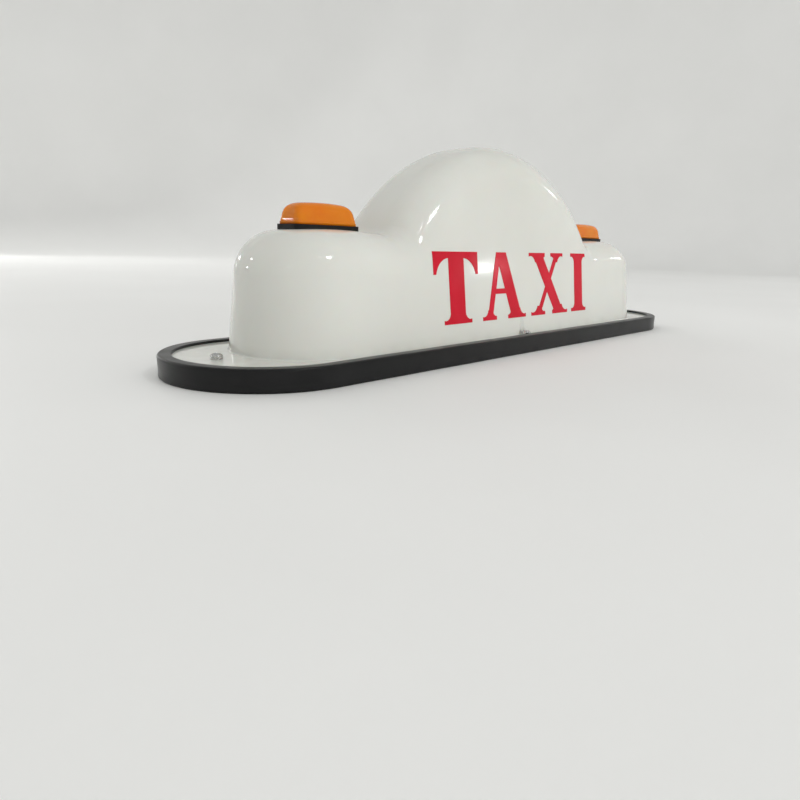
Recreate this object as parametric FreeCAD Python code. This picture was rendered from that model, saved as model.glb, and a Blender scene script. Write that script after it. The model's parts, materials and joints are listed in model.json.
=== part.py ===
"""Magnetic taxi roof sign: a lit white shell with two amber side markers on a magnetic base.

Frame: millimetres, +Z up, origin at the bottom centre. +X runs along the sign, to the right for
somebody who reads its front face, and that front face looks towards -Y.
"""
import FreeCAD, Part
import math
import os
from FreeCAD import Vector

# ---- Driving dimensions -------------------------------------------------------------------------
# Rubber edge trim, which is the widest and longest piece
TRIM_LENGTH = 600.0
TRIM_WIDTH = 143.0
TRIM_HEIGHT = 15.0
TRIM_WEB = 5.0            # rubber outside the edge of the flange
LIP_WIDTH = 9.5           # from the outside of the trim to the inner edge of its lips
LOWER_LIP_THICKNESS = 2.0
SKIRT_THICKNESS = 3.5
SKIRT_FLARE = 0.5         # how far the foot of the skirt spreads past its wall
CABLE_NOTCH_RADIUS = 4.0

# Sandwich held by the trim, from below: base plate, gasket, flange
PLATE_BOTTOM = 8.0
PLATE_THICKNESS = 1.5
GASKET_THICKNESS = 1.0
FLANGE_TOP = 13.0
PLATE_TOP = PLATE_BOTTOM + PLATE_THICKNESS
FLANGE_BOTTOM = PLATE_TOP + GASKET_THICKNESS
FLANGE_LENGTH = TRIM_LENGTH - 2 * TRIM_WEB
FLANGE_WIDTH = TRIM_WIDTH - 2 * TRIM_WEB

# Moulded shell
BODY_LENGTH = 500.0       # where the wall meets the flange
BODY_WIDTH = 107.0
BODY_LEAN = math.radians(6.5)
SHELL_THICKNESS = 2.8
SHOULDER_TOP = 95.4       # highest point of each crowned shoulder
SHOULDER_CROWN_RADIUS = 450.0
DOME_TOP = 168.6
DOME_RADIUS = 160.0
VALLEY_RADIUS = 14.0      # between a shoulder and the dome
EDGE_RADIUS = 32.0        # front and back edges of shoulders and dome
FOOT_FILLET = 1.2

# Screws through the flange
M4_RADIUS = 2.0
M4_CLEARANCE_RADIUS = 2.25
M4_HEAD_RADIUS = 4.0
M4_HEAD_HEIGHT = 2.6
M4_NUT_ACROSS_FLATS = 7.0
M4_NUT_HEIGHT = 3.2
WASHER_RADIUS = 4.0
WASHER_THICKNESS = 1.0
END_SCREW_X = 268.0
SIDE_SCREW_Y = 57.5
SCREW_RELIEF_RADIUS = 6.0
SCREW_PLACES = [(-END_SCREW_X, 0.0), (END_SCREW_X, 0.0), (0.0, -SIDE_SCREW_Y), (0.0, SIDE_SCREW_Y)]

# Lettering
LETTER_THICKNESS = 0.3
LETTER_BOTTOM = 28.0
LETTER_TOP = 82.5

# Amber side markers
MARKER_X = 183.0
MARKER_LENGTH = 54.0
MARKER_DEPTH = 23.0
MARKER_GASKET_TOP = SHOULDER_TOP + 2.6
MARKER_GASKET_MARGIN = 1.0
LENS_FLANGE_THICKNESS = 2.0
LENS_TOP = 112.8
LENS_BASE_STEP = 0.4      # from the edge of the flange to the foot of the lens wall
LENS_TOP_LENGTH = 48.0
LENS_TOP_DEPTH = 18.4
LENS_WALL = 1.8
LENS_CORNER_RADIUS = 5.4
LENS_EDGE_RADIUS = 5.0
PILLAR_RADIUS = 2.8
BOARD_THICKNESS = 1.2
LED_RADIUS = 2.5
LED_SPACING = 11.0
MARKER_SCREW_SPACING = 36.0
MARKER_SCREW_RADIUS = 1.45
MARKER_WIRE_HOLE_RADIUS = 3.0

# Magnet feet, which float on shouldered screws
MAGNET_PLACES = {"outer_left": -210.0, "inner_left": -78.0, "inner_right": 78.0, "outer_right": 210.0}
MAGNET_RADIUS = 30.0
MAGNET_BOOT_WALL = 1.0
MAGNET_TOP = 7.0
MAGNET_FLOAT = 1.5
MAGNET_HEADROOM = 1.0
MAGNET_CUP_WALL = 2.5
MAGNET_HUB_RADIUS = 6.0
STUD_SHOULDER_RADIUS = 4.0
STUD_THREAD_RADIUS = 2.5
STUD_HEAD_RADIUS = 8.0
STUD_HEAD_HEIGHT = 2.5
POCKET_RADIUS = 33.0
POCKET_RISE = MAGNET_TOP + MAGNET_FLOAT + MAGNET_HEADROOM - PLATE_BOTTOM

# Suction cups and reinforcing rivet nuts
CUP_PLACES = {"left": -147.0, "right": 147.0}
CUP_RADIUS = 22.0
CUP_NECK_RADIUS = 4.5
RIVET_NUT_X = 147.0
RIVET_NUT_Y = 42.0
RIVET_NUT_BODY_RADIUS = 3.5
RIVET_NUT_THREAD_RADIUS = 2.5

# Cable grommet and terminal block
GROMMET_Y = 32.0
GROMMET_HOLE_RADIUS = 5.5
CABLE_RADIUS = 3.25
TERMINAL_Y = -31.0
TERMINAL_DEPTH = 12.0
TERMINAL_HEIGHT = 12.0
TERMINAL_PITCH = 8.0
TERMINAL_POLES = 4

# Bayonet bulbs (15 mm cap) and their holders
BULB_PLACES = {"left": -147.0, "centre": 0.0, "right": 147.0}
BRACKET_BRIDGE_TOP = 18.0
BRACKET_THICKNESS = 1.2
BRACKET_WIDTH = 20.0
BRACKET_RIVET_X = 21.0
BRACKET_RIVET_RADIUS = 1.6
HOLDER_INNER_RADIUS = 7.65
HOLDER_OUTER_RADIUS = 8.5
HOLDER_TOP = 36.0
BULB_BOTTOM = 24.0
BULB_CAP_RADIUS = 7.5
BULB_GLASS_RADIUS = 9.5
BULB_GLASS_CENTRE_Z = 52.0
BAYONET_PIN_Z = 31.5
BAYONET_PIN_RADIUS = 1.0
BAYONET_PIN_REACH = 8.75
BULB_PUSH = 2.0
BAYONET_TWIST_DEG = 30.0

# Inner wiring
WIRE_RADIUS = 0.9
WIRE_HEIGHT = PLATE_TOP + 5.0
WIRE_ENTRY_RADIUS = 1.6
WIRE_BEND_SHARE = 0.45    # part of the shorter run that each bend takes
WIRE_SPACING = 3.0


# ---- Helpers ------------------------------------------------------------------------------------
def write(name, shapes):
    """Write one node, a group of separate solids where several shapes are given."""
    shapes = shapes if isinstance(shapes, list) else [shapes]
    shape = shapes[0] if len(shapes) == 1 else Part.makeCompound(shapes)
    shape.exportStep(os.path.join("parts", name + ".step"))


def cylinder(radius, bottom, top, x=0.0, y=0.0):
    """Upright cylinder between two heights."""
    return Part.makeCylinder(radius, top - bottom, Vector(x, y, bottom))


def tube(outer, inner, bottom, top, x=0.0, y=0.0):
    """Upright tube between two heights."""
    return cylinder(outer, bottom, top, x, y).cut(cylinder(inner, bottom, top, x, y))


def block(x_low, x_high, y_low, y_high, z_low, z_high):
    """Box between two corners."""
    return Part.makeBox(x_high - x_low, y_high - y_low, z_high - z_low, Vector(x_low, y_low, z_low))


def closed_wire(points):
    """Closed wire through points; an entry (mid, end) of two points is an arc."""
    edges = []
    start = points[0]
    for entry in points[1:] + [points[0]]:
        if isinstance(entry, tuple):
            edges.append(Part.Arc(start, entry[0], entry[1]).toShape())
            start = entry[1]
        elif (entry - start).Length > 1e-6:
            edges.append(Part.LineSegment(start, entry).toShape())
            start = entry
    return Part.Wire(edges)


def turned(points, x=0.0, y=0.0, angle=360.0):
    """Solid of revolution about an upright axis; points and arcs are (radius, height) pairs."""
    def place(entry):
        if isinstance(entry[0], tuple):
            return tuple(place(pair) for pair in entry)
        return Vector(x + entry[0], y, entry[1])
    face = Part.Face(closed_wire([place(entry) for entry in points]))
    return face.revolve(Vector(x, y, 0), Vector(0, 0, 1), angle)


def stadium(length, width, bottom, top):
    """Upright prism with straight sides and half-round ends."""
    radius = width / 2
    spine = length / 2 - radius
    outline = [Vector(-spine, -radius, bottom), Vector(spine, -radius, bottom),
               (Vector(spine + radius, 0, bottom), Vector(spine, radius, bottom)),
               Vector(-spine, radius, bottom),
               (Vector(-spine - radius, 0, bottom), Vector(-spine, -radius, bottom))]
    return Part.Face(closed_wire(outline)).extrude(Vector(0, 0, top - bottom))


def rounded_slab(length, depth, radius, bottom, top, x=0.0):
    """Upright prism on a rectangle with rounded corners."""
    slab = block(x - length / 2, x + length / 2, -depth / 2, depth / 2, bottom, top)
    upright = [edge for edge in slab.Edges if abs(edge.tangentAt(edge.FirstParameter).z) > 0.99]
    return slab.makeFillet(radius, upright)


def hexagon_nut(across_flats, bore_radius, bottom, top, x, y):
    """Hexagonal nut with a plain bore."""
    corner = across_flats / math.sqrt(3)
    ring = [Vector(x + corner * math.cos(math.radians(60 * i)),
                   y + corner * math.sin(math.radians(60 * i)), bottom) for i in range(6)]
    solid = Part.Face(closed_wire(ring)).extrude(Vector(0, 0, top - bottom))
    return solid.cut(cylinder(bore_radius, bottom, top, x, y))


def cross_recess(x, y, top, span=4.4, width=0.9, depth=1.3):
    """Tool for the cross-shaped driver recess in a screw head."""
    one = block(x - span / 2, x + span / 2, y - width / 2, y + width / 2, top - depth, top)
    other = block(x - width / 2, x + width / 2, y - span / 2, y + span / 2, top - depth, top)
    return one.fuse(other)


def pan_head(radius, bottom, height, x, y):
    """Pan head: a short cylinder under a domed top."""
    rim = bottom + height * 0.45
    shoulder = (radius * 0.86, bottom + height * 0.86)
    return turned([(0, bottom), (radius, bottom), (radius, rim), (shoulder, (0, bottom + height))], x, y)


# ---- Shell --------------------------------------------------------------------------------------
def circles_meet(centre_a, radius_a, centre_b, radius_b):
    """Upper meeting point of two circles in the XZ plane."""
    dx = centre_b[0] - centre_a[0]
    dz = centre_b[1] - centre_a[1]
    gap = math.hypot(dx, dz)
    along = (radius_a ** 2 - radius_b ** 2 + gap ** 2) / (2 * gap)
    aside = math.sqrt(radius_a ** 2 - along ** 2)
    foot = (centre_a[0] + along * dx / gap, centre_a[1] + along * dz / gap)
    return max((foot[0] - side * aside * dz / gap, foot[1] + side * aside * dx / gap) for side in (-1, 1))


def step_towards(start, goal, distance):
    """Point at a distance from start on the way to goal."""
    gap = math.hypot(goal[0] - start[0], goal[1] - start[1])
    return tuple(s + (g - s) * distance / gap for s, g in zip(start, goal))


def elevation_prism(inset, bottom):
    """Front elevation of the body, shoulders, valleys and dome, drawn out along Y."""
    reach = TRIM_LENGTH
    dome = (0.0, DOME_TOP - DOME_RADIUS)
    crown = (MARKER_X, SHOULDER_TOP - SHOULDER_CROWN_RADIUS)
    dome_radius = DOME_RADIUS - inset
    crown_radius = SHOULDER_CROWN_RADIUS - inset
    valley_radius = VALLEY_RADIUS + inset
    valley = circles_meet(dome, dome_radius + valley_radius, crown, crown_radius + valley_radius)
    on_dome = step_towards(dome, valley, dome_radius)
    on_crown = step_towards(crown, valley, crown_radius)
    middle = ((on_dome[0] + on_crown[0]) / 2, (on_dome[1] + on_crown[1]) / 2)
    in_valley = step_towards(valley, middle, valley_radius)

    def crown_point(x):
        return (x, crown[1] + math.sqrt(crown_radius ** 2 - (x - crown[0]) ** 2))

    far = crown_point(reach / 2)
    mid_crown = crown_point((reach / 2 + on_crown[0]) / 2)

    def at(point, side):
        return Vector(side * point[0], -reach / 2, point[1])

    outline = [Vector(-reach / 2, -reach / 2, bottom), at(far, -1),
               (at(mid_crown, -1), at(on_crown, -1)), (at(in_valley, -1), at(on_dome, -1)),
               (Vector(0, -reach / 2, dome[1] + dome_radius), at(on_dome, 1)),
               (at(in_valley, 1), at(on_crown, 1)), (at(mid_crown, 1), at(far, 1)),
               Vector(reach / 2, -reach / 2, bottom)]
    return Part.Face(closed_wire(outline)).extrude(Vector(0, reach, 0))


def body_half_width(inset, z):
    """Half the width of the leaning body at a height."""
    return BODY_WIDTH / 2 - inset / math.cos(BODY_LEAN) - (z - FLANGE_TOP) * math.tan(BODY_LEAN)


def body_solid(inset, bottom):
    """The body's outer form, moved inwards all over by inset, from a height upwards."""
    top = DOME_TOP + EDGE_RADIUS
    low = body_half_width(inset, bottom)
    high = body_half_width(inset, top)
    spine = (BODY_LENGTH - BODY_WIDTH) / 2
    section = [Vector(-spine, -low, bottom), Vector(-spine, low, bottom),
               Vector(-spine, high, top), Vector(-spine, -high, top)]
    middle = Part.Face(closed_wire(section)).extrude(Vector(2 * spine, 0, 0))
    ends = [Part.makeCone(low, high, top - bottom, Vector(side * spine, 0, bottom)) for side in (-1, 1)]
    raw = middle.fuse(ends).removeSplitter().common(elevation_prism(inset, bottom))

    def on_wall(point):
        aside = math.hypot(max(abs(point.x) - spine, 0), point.y)
        return abs(aside - body_half_width(inset, point.z)) < 1e-3

    rim = []
    for edge in raw.Edges:
        middle_point = edge.valueAt((edge.FirstParameter + edge.LastParameter) / 2)
        if min(vertex.Z for vertex in edge.Vertexes) > SHOULDER_TOP / 2 and on_wall(middle_point):
            rim.append(edge)
    return raw.makeFillet(EDGE_RADIUS - inset, rim)


def foot_edges(shape):
    """Edges where the body's wall stands on the flange."""
    found = []
    for edge in shape.Edges:
        box = edge.BoundBox
        flat = box.ZLength < 1e-6 and abs(box.ZMin - FLANGE_TOP) < 1e-6
        spine = (BODY_LENGTH - BODY_WIDTH) / 2
        point = edge.valueAt((edge.FirstParameter + edge.LastParameter) / 2)
        aside = math.hypot(max(abs(point.x) - spine, 0), point.y)
        if flat and abs(aside - BODY_WIDTH / 2) < 1e-3:
            found.append(edge)
    return found


def build_shell(outer):
    """One moulding: body, flange, screw reliefs and the holes for the markers."""
    flange = stadium(FLANGE_LENGTH, FLANGE_WIDTH, FLANGE_BOTTOM, FLANGE_TOP)
    above = block(-TRIM_LENGTH, TRIM_LENGTH, -TRIM_WIDTH, TRIM_WIDTH, FLANGE_TOP, DOME_TOP + 1)
    shell = outer.common(above)
    shell = shell.fuse(flange).removeSplitter()
    shell = shell.makeFillet(FOOT_FILLET, foot_edges(shell))
    cavity = body_solid(SHELL_THICKNESS, FLANGE_BOTTOM)
    relief_top = SHOULDER_TOP / 2
    for y in (-SIDE_SCREW_Y, SIDE_SCREW_Y):
        shell = shell.cut(cylinder(SCREW_RELIEF_RADIUS, FLANGE_TOP, relief_top, 0, y))
        cavity = cavity.cut(cylinder(SCREW_RELIEF_RADIUS + SHELL_THICKNESS, FLANGE_BOTTOM, relief_top, 0, y))
    shell = shell.cut(cavity)
    for x, y in SCREW_PLACES:
        shell = shell.cut(cylinder(M4_CLEARANCE_RADIUS, FLANGE_BOTTOM, FLANGE_TOP, x, y))
    for marker_x in (-MARKER_X, MARKER_X):
        shell = shell.cut(cylinder(MARKER_WIRE_HOLE_RADIUS, SHOULDER_TOP / 2, SHOULDER_TOP + 1, marker_x))
        for side in (-0.5, 0.5):
            x = marker_x + side * MARKER_SCREW_SPACING
            shell = shell.cut(cylinder(MARKER_SCREW_RADIUS + 0.05, SHOULDER_TOP / 2, SHOULDER_TOP + 1, x))
    return shell


# ---- Lettering ----------------------------------------------------------------------------------
def letter_prism(points):
    """Prism through the front wall on an outline of (x, z) pairs."""
    def place(entry):
        if isinstance(entry[0], tuple):
            return tuple(place(pair) for pair in entry)
        return Vector(entry[0], -BODY_WIDTH, entry[1])
    outline = closed_wire([place(entry) for entry in points])
    return Part.Face(outline).extrude(Vector(0, BODY_WIDTH / 2 + EDGE_RADIUS, 0))


def stroke(low_x, low_width, high_x, high_width):
    """Slanted or upright stroke over the full letter height."""
    return letter_prism([(low_x - low_width / 2, LETTER_BOTTOM), (low_x + low_width / 2, LETTER_BOTTOM),
                         (high_x + high_width / 2, LETTER_TOP), (high_x - high_width / 2, LETTER_TOP)])


def slab(centre, width, stem_left, stem_right, at_top):
    """Serif with curved brackets that run into its stem; the stem may slant."""
    thickness = 3.2
    bracket = 5.0
    level = LETTER_TOP if at_top else LETTER_BOTTOM
    up = -1 if at_top else 1
    left = centre - width / 2
    right = centre + width / 2
    edge = level + up * thickness
    throat = level + up * (thickness + bracket)
    left_mid = (stem_left - (stem_left - left) * 0.25, edge + up * bracket * 0.25)
    right_mid = (stem_right + (right - stem_right) * 0.25, edge + up * bracket * 0.25)
    return letter_prism([(left, level), (right, level), (right, edge), (right_mid, (stem_right, throat)),
                         (stem_left, throat), (left_mid, (left, edge))])


def letter_t(x):
    """Capital T with drooping ends on its arm."""
    stem = 18.5
    half = 27.0
    arm = 4.8
    droop = 17.0
    tip = 3.0
    parts = [stroke(x, stem, x, stem), slab(x, 34.0, x - stem / 2, x + stem / 2, False)]
    parts.append(letter_prism([(x - half, LETTER_TOP - arm), (x + half, LETTER_TOP - arm),
                               (x + half, LETTER_TOP), (x - half, LETTER_TOP)]))
    for side in (-1, 1):
        inner = x + side * (stem / 2)
        end = x + side * half
        bend = (x + side * (half - 8.5), LETTER_TOP - arm - 3.5)
        parts.append(letter_prism([(end, LETTER_TOP), (end, LETTER_TOP - droop),
                                   (end - side * tip, LETTER_TOP - droop),
                                   (bend, (inner, LETTER_TOP - arm)), (inner, LETTER_TOP)]))
    return parts[0].multiFuse(parts[1:]).removeSplitter()


def letter_a(x):
    """Capital A with a thin left leg and a thick right leg."""
    apex = x - 3.5
    left_foot = x - 22.0
    right_foot = x + 17.5
    bar = 21.0
    parts = [stroke(left_foot, 6.5, apex - 3.5, 6.5), stroke(right_foot, 15.0, apex, 14.0),
             slab(left_foot, 19.0, left_foot - 2.0, left_foot + 4.5, False),
             slab(right_foot, 27.0, right_foot - 9.0, right_foot + 5.0, False),
             letter_prism([(left_foot + 5.0, LETTER_BOTTOM + bar), (right_foot - 8.0, LETTER_BOTTOM + bar),
                           (right_foot - 10.0, LETTER_BOTTOM + bar + 4.2),
                           (left_foot + 6.0, LETTER_BOTTOM + bar + 4.2)])]
    return parts[0].multiFuse(parts[1:]).removeSplitter()


def letter_x(x):
    """Capital X with a thick stroke down to the right."""
    parts = [stroke(x + 17.5, 15.0, x - 18.5, 15.0), stroke(x - 19.0, 6.0, x + 15.0, 6.0),
             slab(x - 19.0, 23.0, x - 20.0, x - 14.0, False), slab(x + 18.5, 27.0, x + 8.0, x + 22.0, False),
             slab(x - 19.0, 26.0, x - 22.0, x - 9.0, True), slab(x + 14.5, 21.0, x + 10.0, x + 15.5, True)]
    return parts[0].multiFuse(parts[1:]).removeSplitter()


def letter_i(x):
    """Capital I."""
    stem = 15.0
    parts = [stroke(x, stem, x, stem), slab(x, 28.0, x - stem / 2, x + stem / 2, False),
             slab(x, 28.0, x - stem / 2, x + stem / 2, True)]
    return parts[0].multiFuse(parts[1:]).removeSplitter()


def build_lettering(outer):
    """The generic word in thin film on the front wall, one solid per letter."""
    film = body_solid(-LETTER_THICKNESS, 0.0).cut(outer)
    letters = [letter_t(-87.5), letter_a(-24.5), letter_x(46.0), letter_i(100.0)]
    return [letter.common(film).Solids[0] for letter in letters]


# ---- Base ---------------------------------------------------------------------------------------
def trim_section():
    """Section of the edge trim; distances are from the spine of the stadium."""
    outer = TRIM_WIDTH / 2
    wall = outer - SKIRT_FLARE
    inner = outer - LIP_WIDTH
    flange = FLANGE_WIDTH / 2
    lower = PLATE_BOTTOM - LOWER_LIP_THICKNESS
    round_off = 2.0
    corner = round_off * (1 - math.sqrt(0.5))
    skirt = outer - SKIRT_THICKNESS
    return [(inner, FLANGE_TOP), (inner, TRIM_HEIGHT - 0.8), (inner + 0.8, TRIM_HEIGHT),
            (wall - round_off, TRIM_HEIGHT),
            ((wall - corner, TRIM_HEIGHT - corner), (wall, TRIM_HEIGHT - round_off)),
            (wall, 5.0), (outer, 1.0), (outer - 0.6, 0.0), (skirt, 0.0), (skirt - 0.6, lower),
            (inner, lower), (inner, PLATE_BOTTOM), (flange, PLATE_BOTTOM), (flange, FLANGE_TOP)]


def build_trim():
    """Rubber ring that grips the flange and base plate and stands on the roof."""
    spine = (TRIM_LENGTH - TRIM_WIDTH) / 2
    section = trim_section()
    sides = []
    for side in (-1, 1):
        def place(entry, side=side):
            if isinstance(entry[0], tuple):
                return tuple(place(pair, side) for pair in entry)
            return Vector(-spine, side * entry[0], entry[1])
        face = Part.Face(closed_wire([place(entry) for entry in section]))
        sides.append(face.extrude(Vector(2 * spine, 0, 0)))
    right = turned(section, spine, 0, 180.0)
    right.rotate(Vector(spine, 0, 0), Vector(0, 0, 1), -90.0)
    left = turned(section, -spine, 0, 180.0)
    left.rotate(Vector(-spine, 0, 0), Vector(0, 0, 1), 90.0)
    ring = sides[0].multiFuse([sides[1], left, right]).removeSplitter()
    arch = Part.makeCylinder(CABLE_NOTCH_RADIUS, LIP_WIDTH, Vector(0, TRIM_WIDTH / 2 - LIP_WIDTH, 0),
                             Vector(0, 1, 0))
    return ring.cut(arch)


def cut_fixing_holes(shape, bottom, top):
    """Clearance holes for the flange screws."""
    for x, y in SCREW_PLACES:
        shape = shape.cut(cylinder(M4_CLEARANCE_RADIUS, bottom, top, x, y))
    return shape


def build_base_gasket():
    """Foam ring between flange and base plate."""
    ring = stadium(FLANGE_LENGTH, FLANGE_WIDTH, PLATE_TOP, FLANGE_BOTTOM)
    margin = 3.0 * 2
    inner = stadium(BODY_LENGTH - margin, BODY_WIDTH - margin, PLATE_TOP, FLANGE_BOTTOM)
    return cut_fixing_holes(ring.cut(inner), PLATE_TOP, FLANGE_BOTTOM)


def build_base_plate():
    """Zinc-plated steel plate with a raised pocket over each magnet foot."""
    plate = stadium(FLANGE_LENGTH, FLANGE_WIDTH, PLATE_BOTTOM, PLATE_TOP)
    pocket_top = PLATE_TOP + POCKET_RISE
    pocket_ceiling = PLATE_BOTTOM + POCKET_RISE
    for x in MAGNET_PLACES.values():
        plate = plate.fuse(cylinder(POCKET_RADIUS + PLATE_THICKNESS, PLATE_TOP, pocket_top, x))
    for x in MAGNET_PLACES.values():
        plate = plate.cut(cylinder(POCKET_RADIUS, PLATE_BOTTOM, pocket_ceiling, x))
        plate = plate.cut(cylinder(STUD_SHOULDER_RADIUS + 0.3, PLATE_BOTTOM, pocket_top, x))
    plate = cut_fixing_holes(plate, PLATE_BOTTOM, PLATE_TOP)
    for x in CUP_PLACES.values():
        plate = plate.cut(cylinder(CUP_NECK_RADIUS, PLATE_BOTTOM, PLATE_TOP, x))
        for y in (-RIVET_NUT_Y, RIVET_NUT_Y):
            plate = plate.cut(cylinder(RIVET_NUT_BODY_RADIUS, PLATE_BOTTOM, PLATE_TOP, x, y))
    plate = plate.cut(cylinder(GROMMET_HOLE_RADIUS, PLATE_BOTTOM, PLATE_TOP, 0, GROMMET_Y))
    for x in BULB_PLACES.values():
        for side in (-BRACKET_RIVET_X, BRACKET_RIVET_X):
            plate = plate.cut(cylinder(BRACKET_RIVET_RADIUS, PLATE_BOTTOM, PLATE_TOP, x + side))
    return plate


def build_flange_screw(x, y):
    """M4 pan-head screw on its washer."""
    seat = FLANGE_TOP + WASHER_THICKNESS
    shank = cylinder(M4_RADIUS, PLATE_BOTTOM - M4_NUT_HEIGHT - 1.0, seat, x, y)
    head = pan_head(M4_HEAD_RADIUS, seat, M4_HEAD_HEIGHT, x, y)
    return shank.fuse(head).cut(cross_recess(x, y, seat + M4_HEAD_HEIGHT))


def build_flange_fasteners():
    """Screws, washers and nuts that hold the shell to its base plate."""
    top = FLANGE_TOP + WASHER_THICKNESS
    nut_bottom = PLATE_BOTTOM - M4_NUT_HEIGHT
    screws = [build_flange_screw(x, y) for x, y in SCREW_PLACES]
    washers = [tube(WASHER_RADIUS, M4_CLEARANCE_RADIUS, FLANGE_TOP, top, x, y) for x, y in SCREW_PLACES]
    nuts = [hexagon_nut(M4_NUT_ACROSS_FLATS, M4_RADIUS + 0.02, nut_bottom, PLATE_BOTTOM, x, y)
            for x, y in SCREW_PLACES]
    return screws, washers, nuts


def build_magnet_foot(x):
    """Floating foot: rubber boot, steel cup, ring magnet and the shouldered screw it hangs on."""
    rim = MAGNET_RADIUS
    outer = rim + MAGNET_BOOT_WALL
    floor = MAGNET_BOOT_WALL
    boot = turned([(0, 0), (outer - 0.8, 0), (outer, 0.8), (outer, MAGNET_TOP), (rim, MAGNET_TOP),
                   (rim, floor), (0, floor)], x)
    ceiling = MAGNET_TOP - MAGNET_CUP_WALL
    cup = cylinder(rim, floor, MAGNET_TOP, x)
    cup = cup.cut(tube(rim - MAGNET_CUP_WALL, MAGNET_HUB_RADIUS, floor, ceiling, x))
    thread_bottom = floor + 1.0
    cup = cup.cut(cylinder(STUD_THREAD_RADIUS, thread_bottom, MAGNET_TOP, x))
    ring = tube(rim - MAGNET_CUP_WALL - 0.1, MAGNET_HUB_RADIUS + 0.1, floor, ceiling, x)
    seat = PLATE_TOP + POCKET_RISE
    stud = cylinder(STUD_THREAD_RADIUS, thread_bottom, MAGNET_TOP, x)
    stud = stud.fuse(cylinder(STUD_SHOULDER_RADIUS, MAGNET_TOP, seat, x))
    stud = stud.fuse(pan_head(STUD_HEAD_RADIUS, seat, STUD_HEAD_HEIGHT, x, 0))
    stud = stud.cut(cross_recess(x, 0, seat + STUD_HEAD_HEIGHT, 7.0, 1.2, 1.4))
    return boot, cup, ring, stud


def build_suction_cup(x):
    """Rubber cup whose mushroom neck snaps through the base plate."""
    neck = CUP_NECK_RADIUS
    return turned([(0, 4.5), ((11.0, 3.6), (CUP_RADIUS - 1.5, 0)), (CUP_RADIUS, 0), (CUP_RADIUS - 0.5, 1.2),
                   ((15.0, 4.6), (8.5, 6.2)), (7.5, PLATE_BOTTOM), (neck, PLATE_BOTTOM),
                   (neck, PLATE_TOP), (6.5, PLATE_TOP), (6.5, PLATE_TOP + 0.8), (4.0, PLATE_TOP + 2.8),
                   (0, PLATE_TOP + 2.8)], x)


def build_rivet_nut(x, y):
    """Closed-end M5 rivet nut for a reinforcing screw from below."""
    flange = cylinder(RIVET_NUT_BODY_RADIUS + 1.7, PLATE_BOTTOM - 0.8, PLATE_BOTTOM, x, y)
    nut = flange.fuse(cylinder(RIVET_NUT_BODY_RADIUS, PLATE_BOTTOM, PLATE_TOP + 9.0, x, y))
    nut = nut.fuse(cylinder(RIVET_NUT_BODY_RADIUS + 1.0, PLATE_TOP, PLATE_TOP + 1.6, x, y))
    return nut.cut(cylinder(RIVET_NUT_THREAD_RADIUS, PLATE_BOTTOM - 0.8, PLATE_TOP + 7.5, x, y))


def build_grommet():
    """Rubber grommet that seals the supply cable into the base plate."""
    hole = GROMMET_HOLE_RADIUS
    lip = hole + 2.0
    return turned([(CABLE_RADIUS, PLATE_BOTTOM - 1.8), (hole + 0.5, PLATE_BOTTOM - 1.8),
                   (lip, PLATE_BOTTOM - 0.8), (lip, PLATE_BOTTOM), (hole, PLATE_BOTTOM), (hole, PLATE_TOP),
                   (lip, PLATE_TOP), (lip, PLATE_TOP + 1.0), (hole - 0.5, PLATE_TOP + 2.8),
                   (CABLE_RADIUS, PLATE_TOP + 2.8)], 0, GROMMET_Y)


# ---- Lamps inside -------------------------------------------------------------------------------
def pole_positions():
    """Where the poles of the terminal block stand along X."""
    first = -TERMINAL_PITCH * (TERMINAL_POLES - 1) / 2
    return [first + TERMINAL_PITCH * i for i in range(TERMINAL_POLES)]


def build_terminal_block():
    """Terminal block with open wire entries and its clamp screws."""
    half_length = TERMINAL_PITCH * TERMINAL_POLES / 2
    front = TERMINAL_Y - TERMINAL_DEPTH / 2
    top = PLATE_TOP + TERMINAL_HEIGHT
    well = 2.0
    body = block(-half_length, half_length, front, front + TERMINAL_DEPTH, PLATE_TOP, top)
    screws = []
    for x in pole_positions():
        entry = Part.makeCylinder(WIRE_ENTRY_RADIUS, TERMINAL_DEPTH, Vector(x, front, WIRE_HEIGHT),
                                  Vector(0, 1, 0))
        body = body.cut(entry).cut(cylinder(well, WIRE_HEIGHT, top, x, TERMINAL_Y))
        screw = cylinder(well - 0.1, top - 3.5, top - 0.5, x, TERMINAL_Y)
        slot = block(x - well, x + well, TERMINAL_Y - 0.3, TERMINAL_Y + 0.3, top - 1.3, top - 0.5)
        screws.append(screw.cut(slot))
    return body, screws


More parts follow.
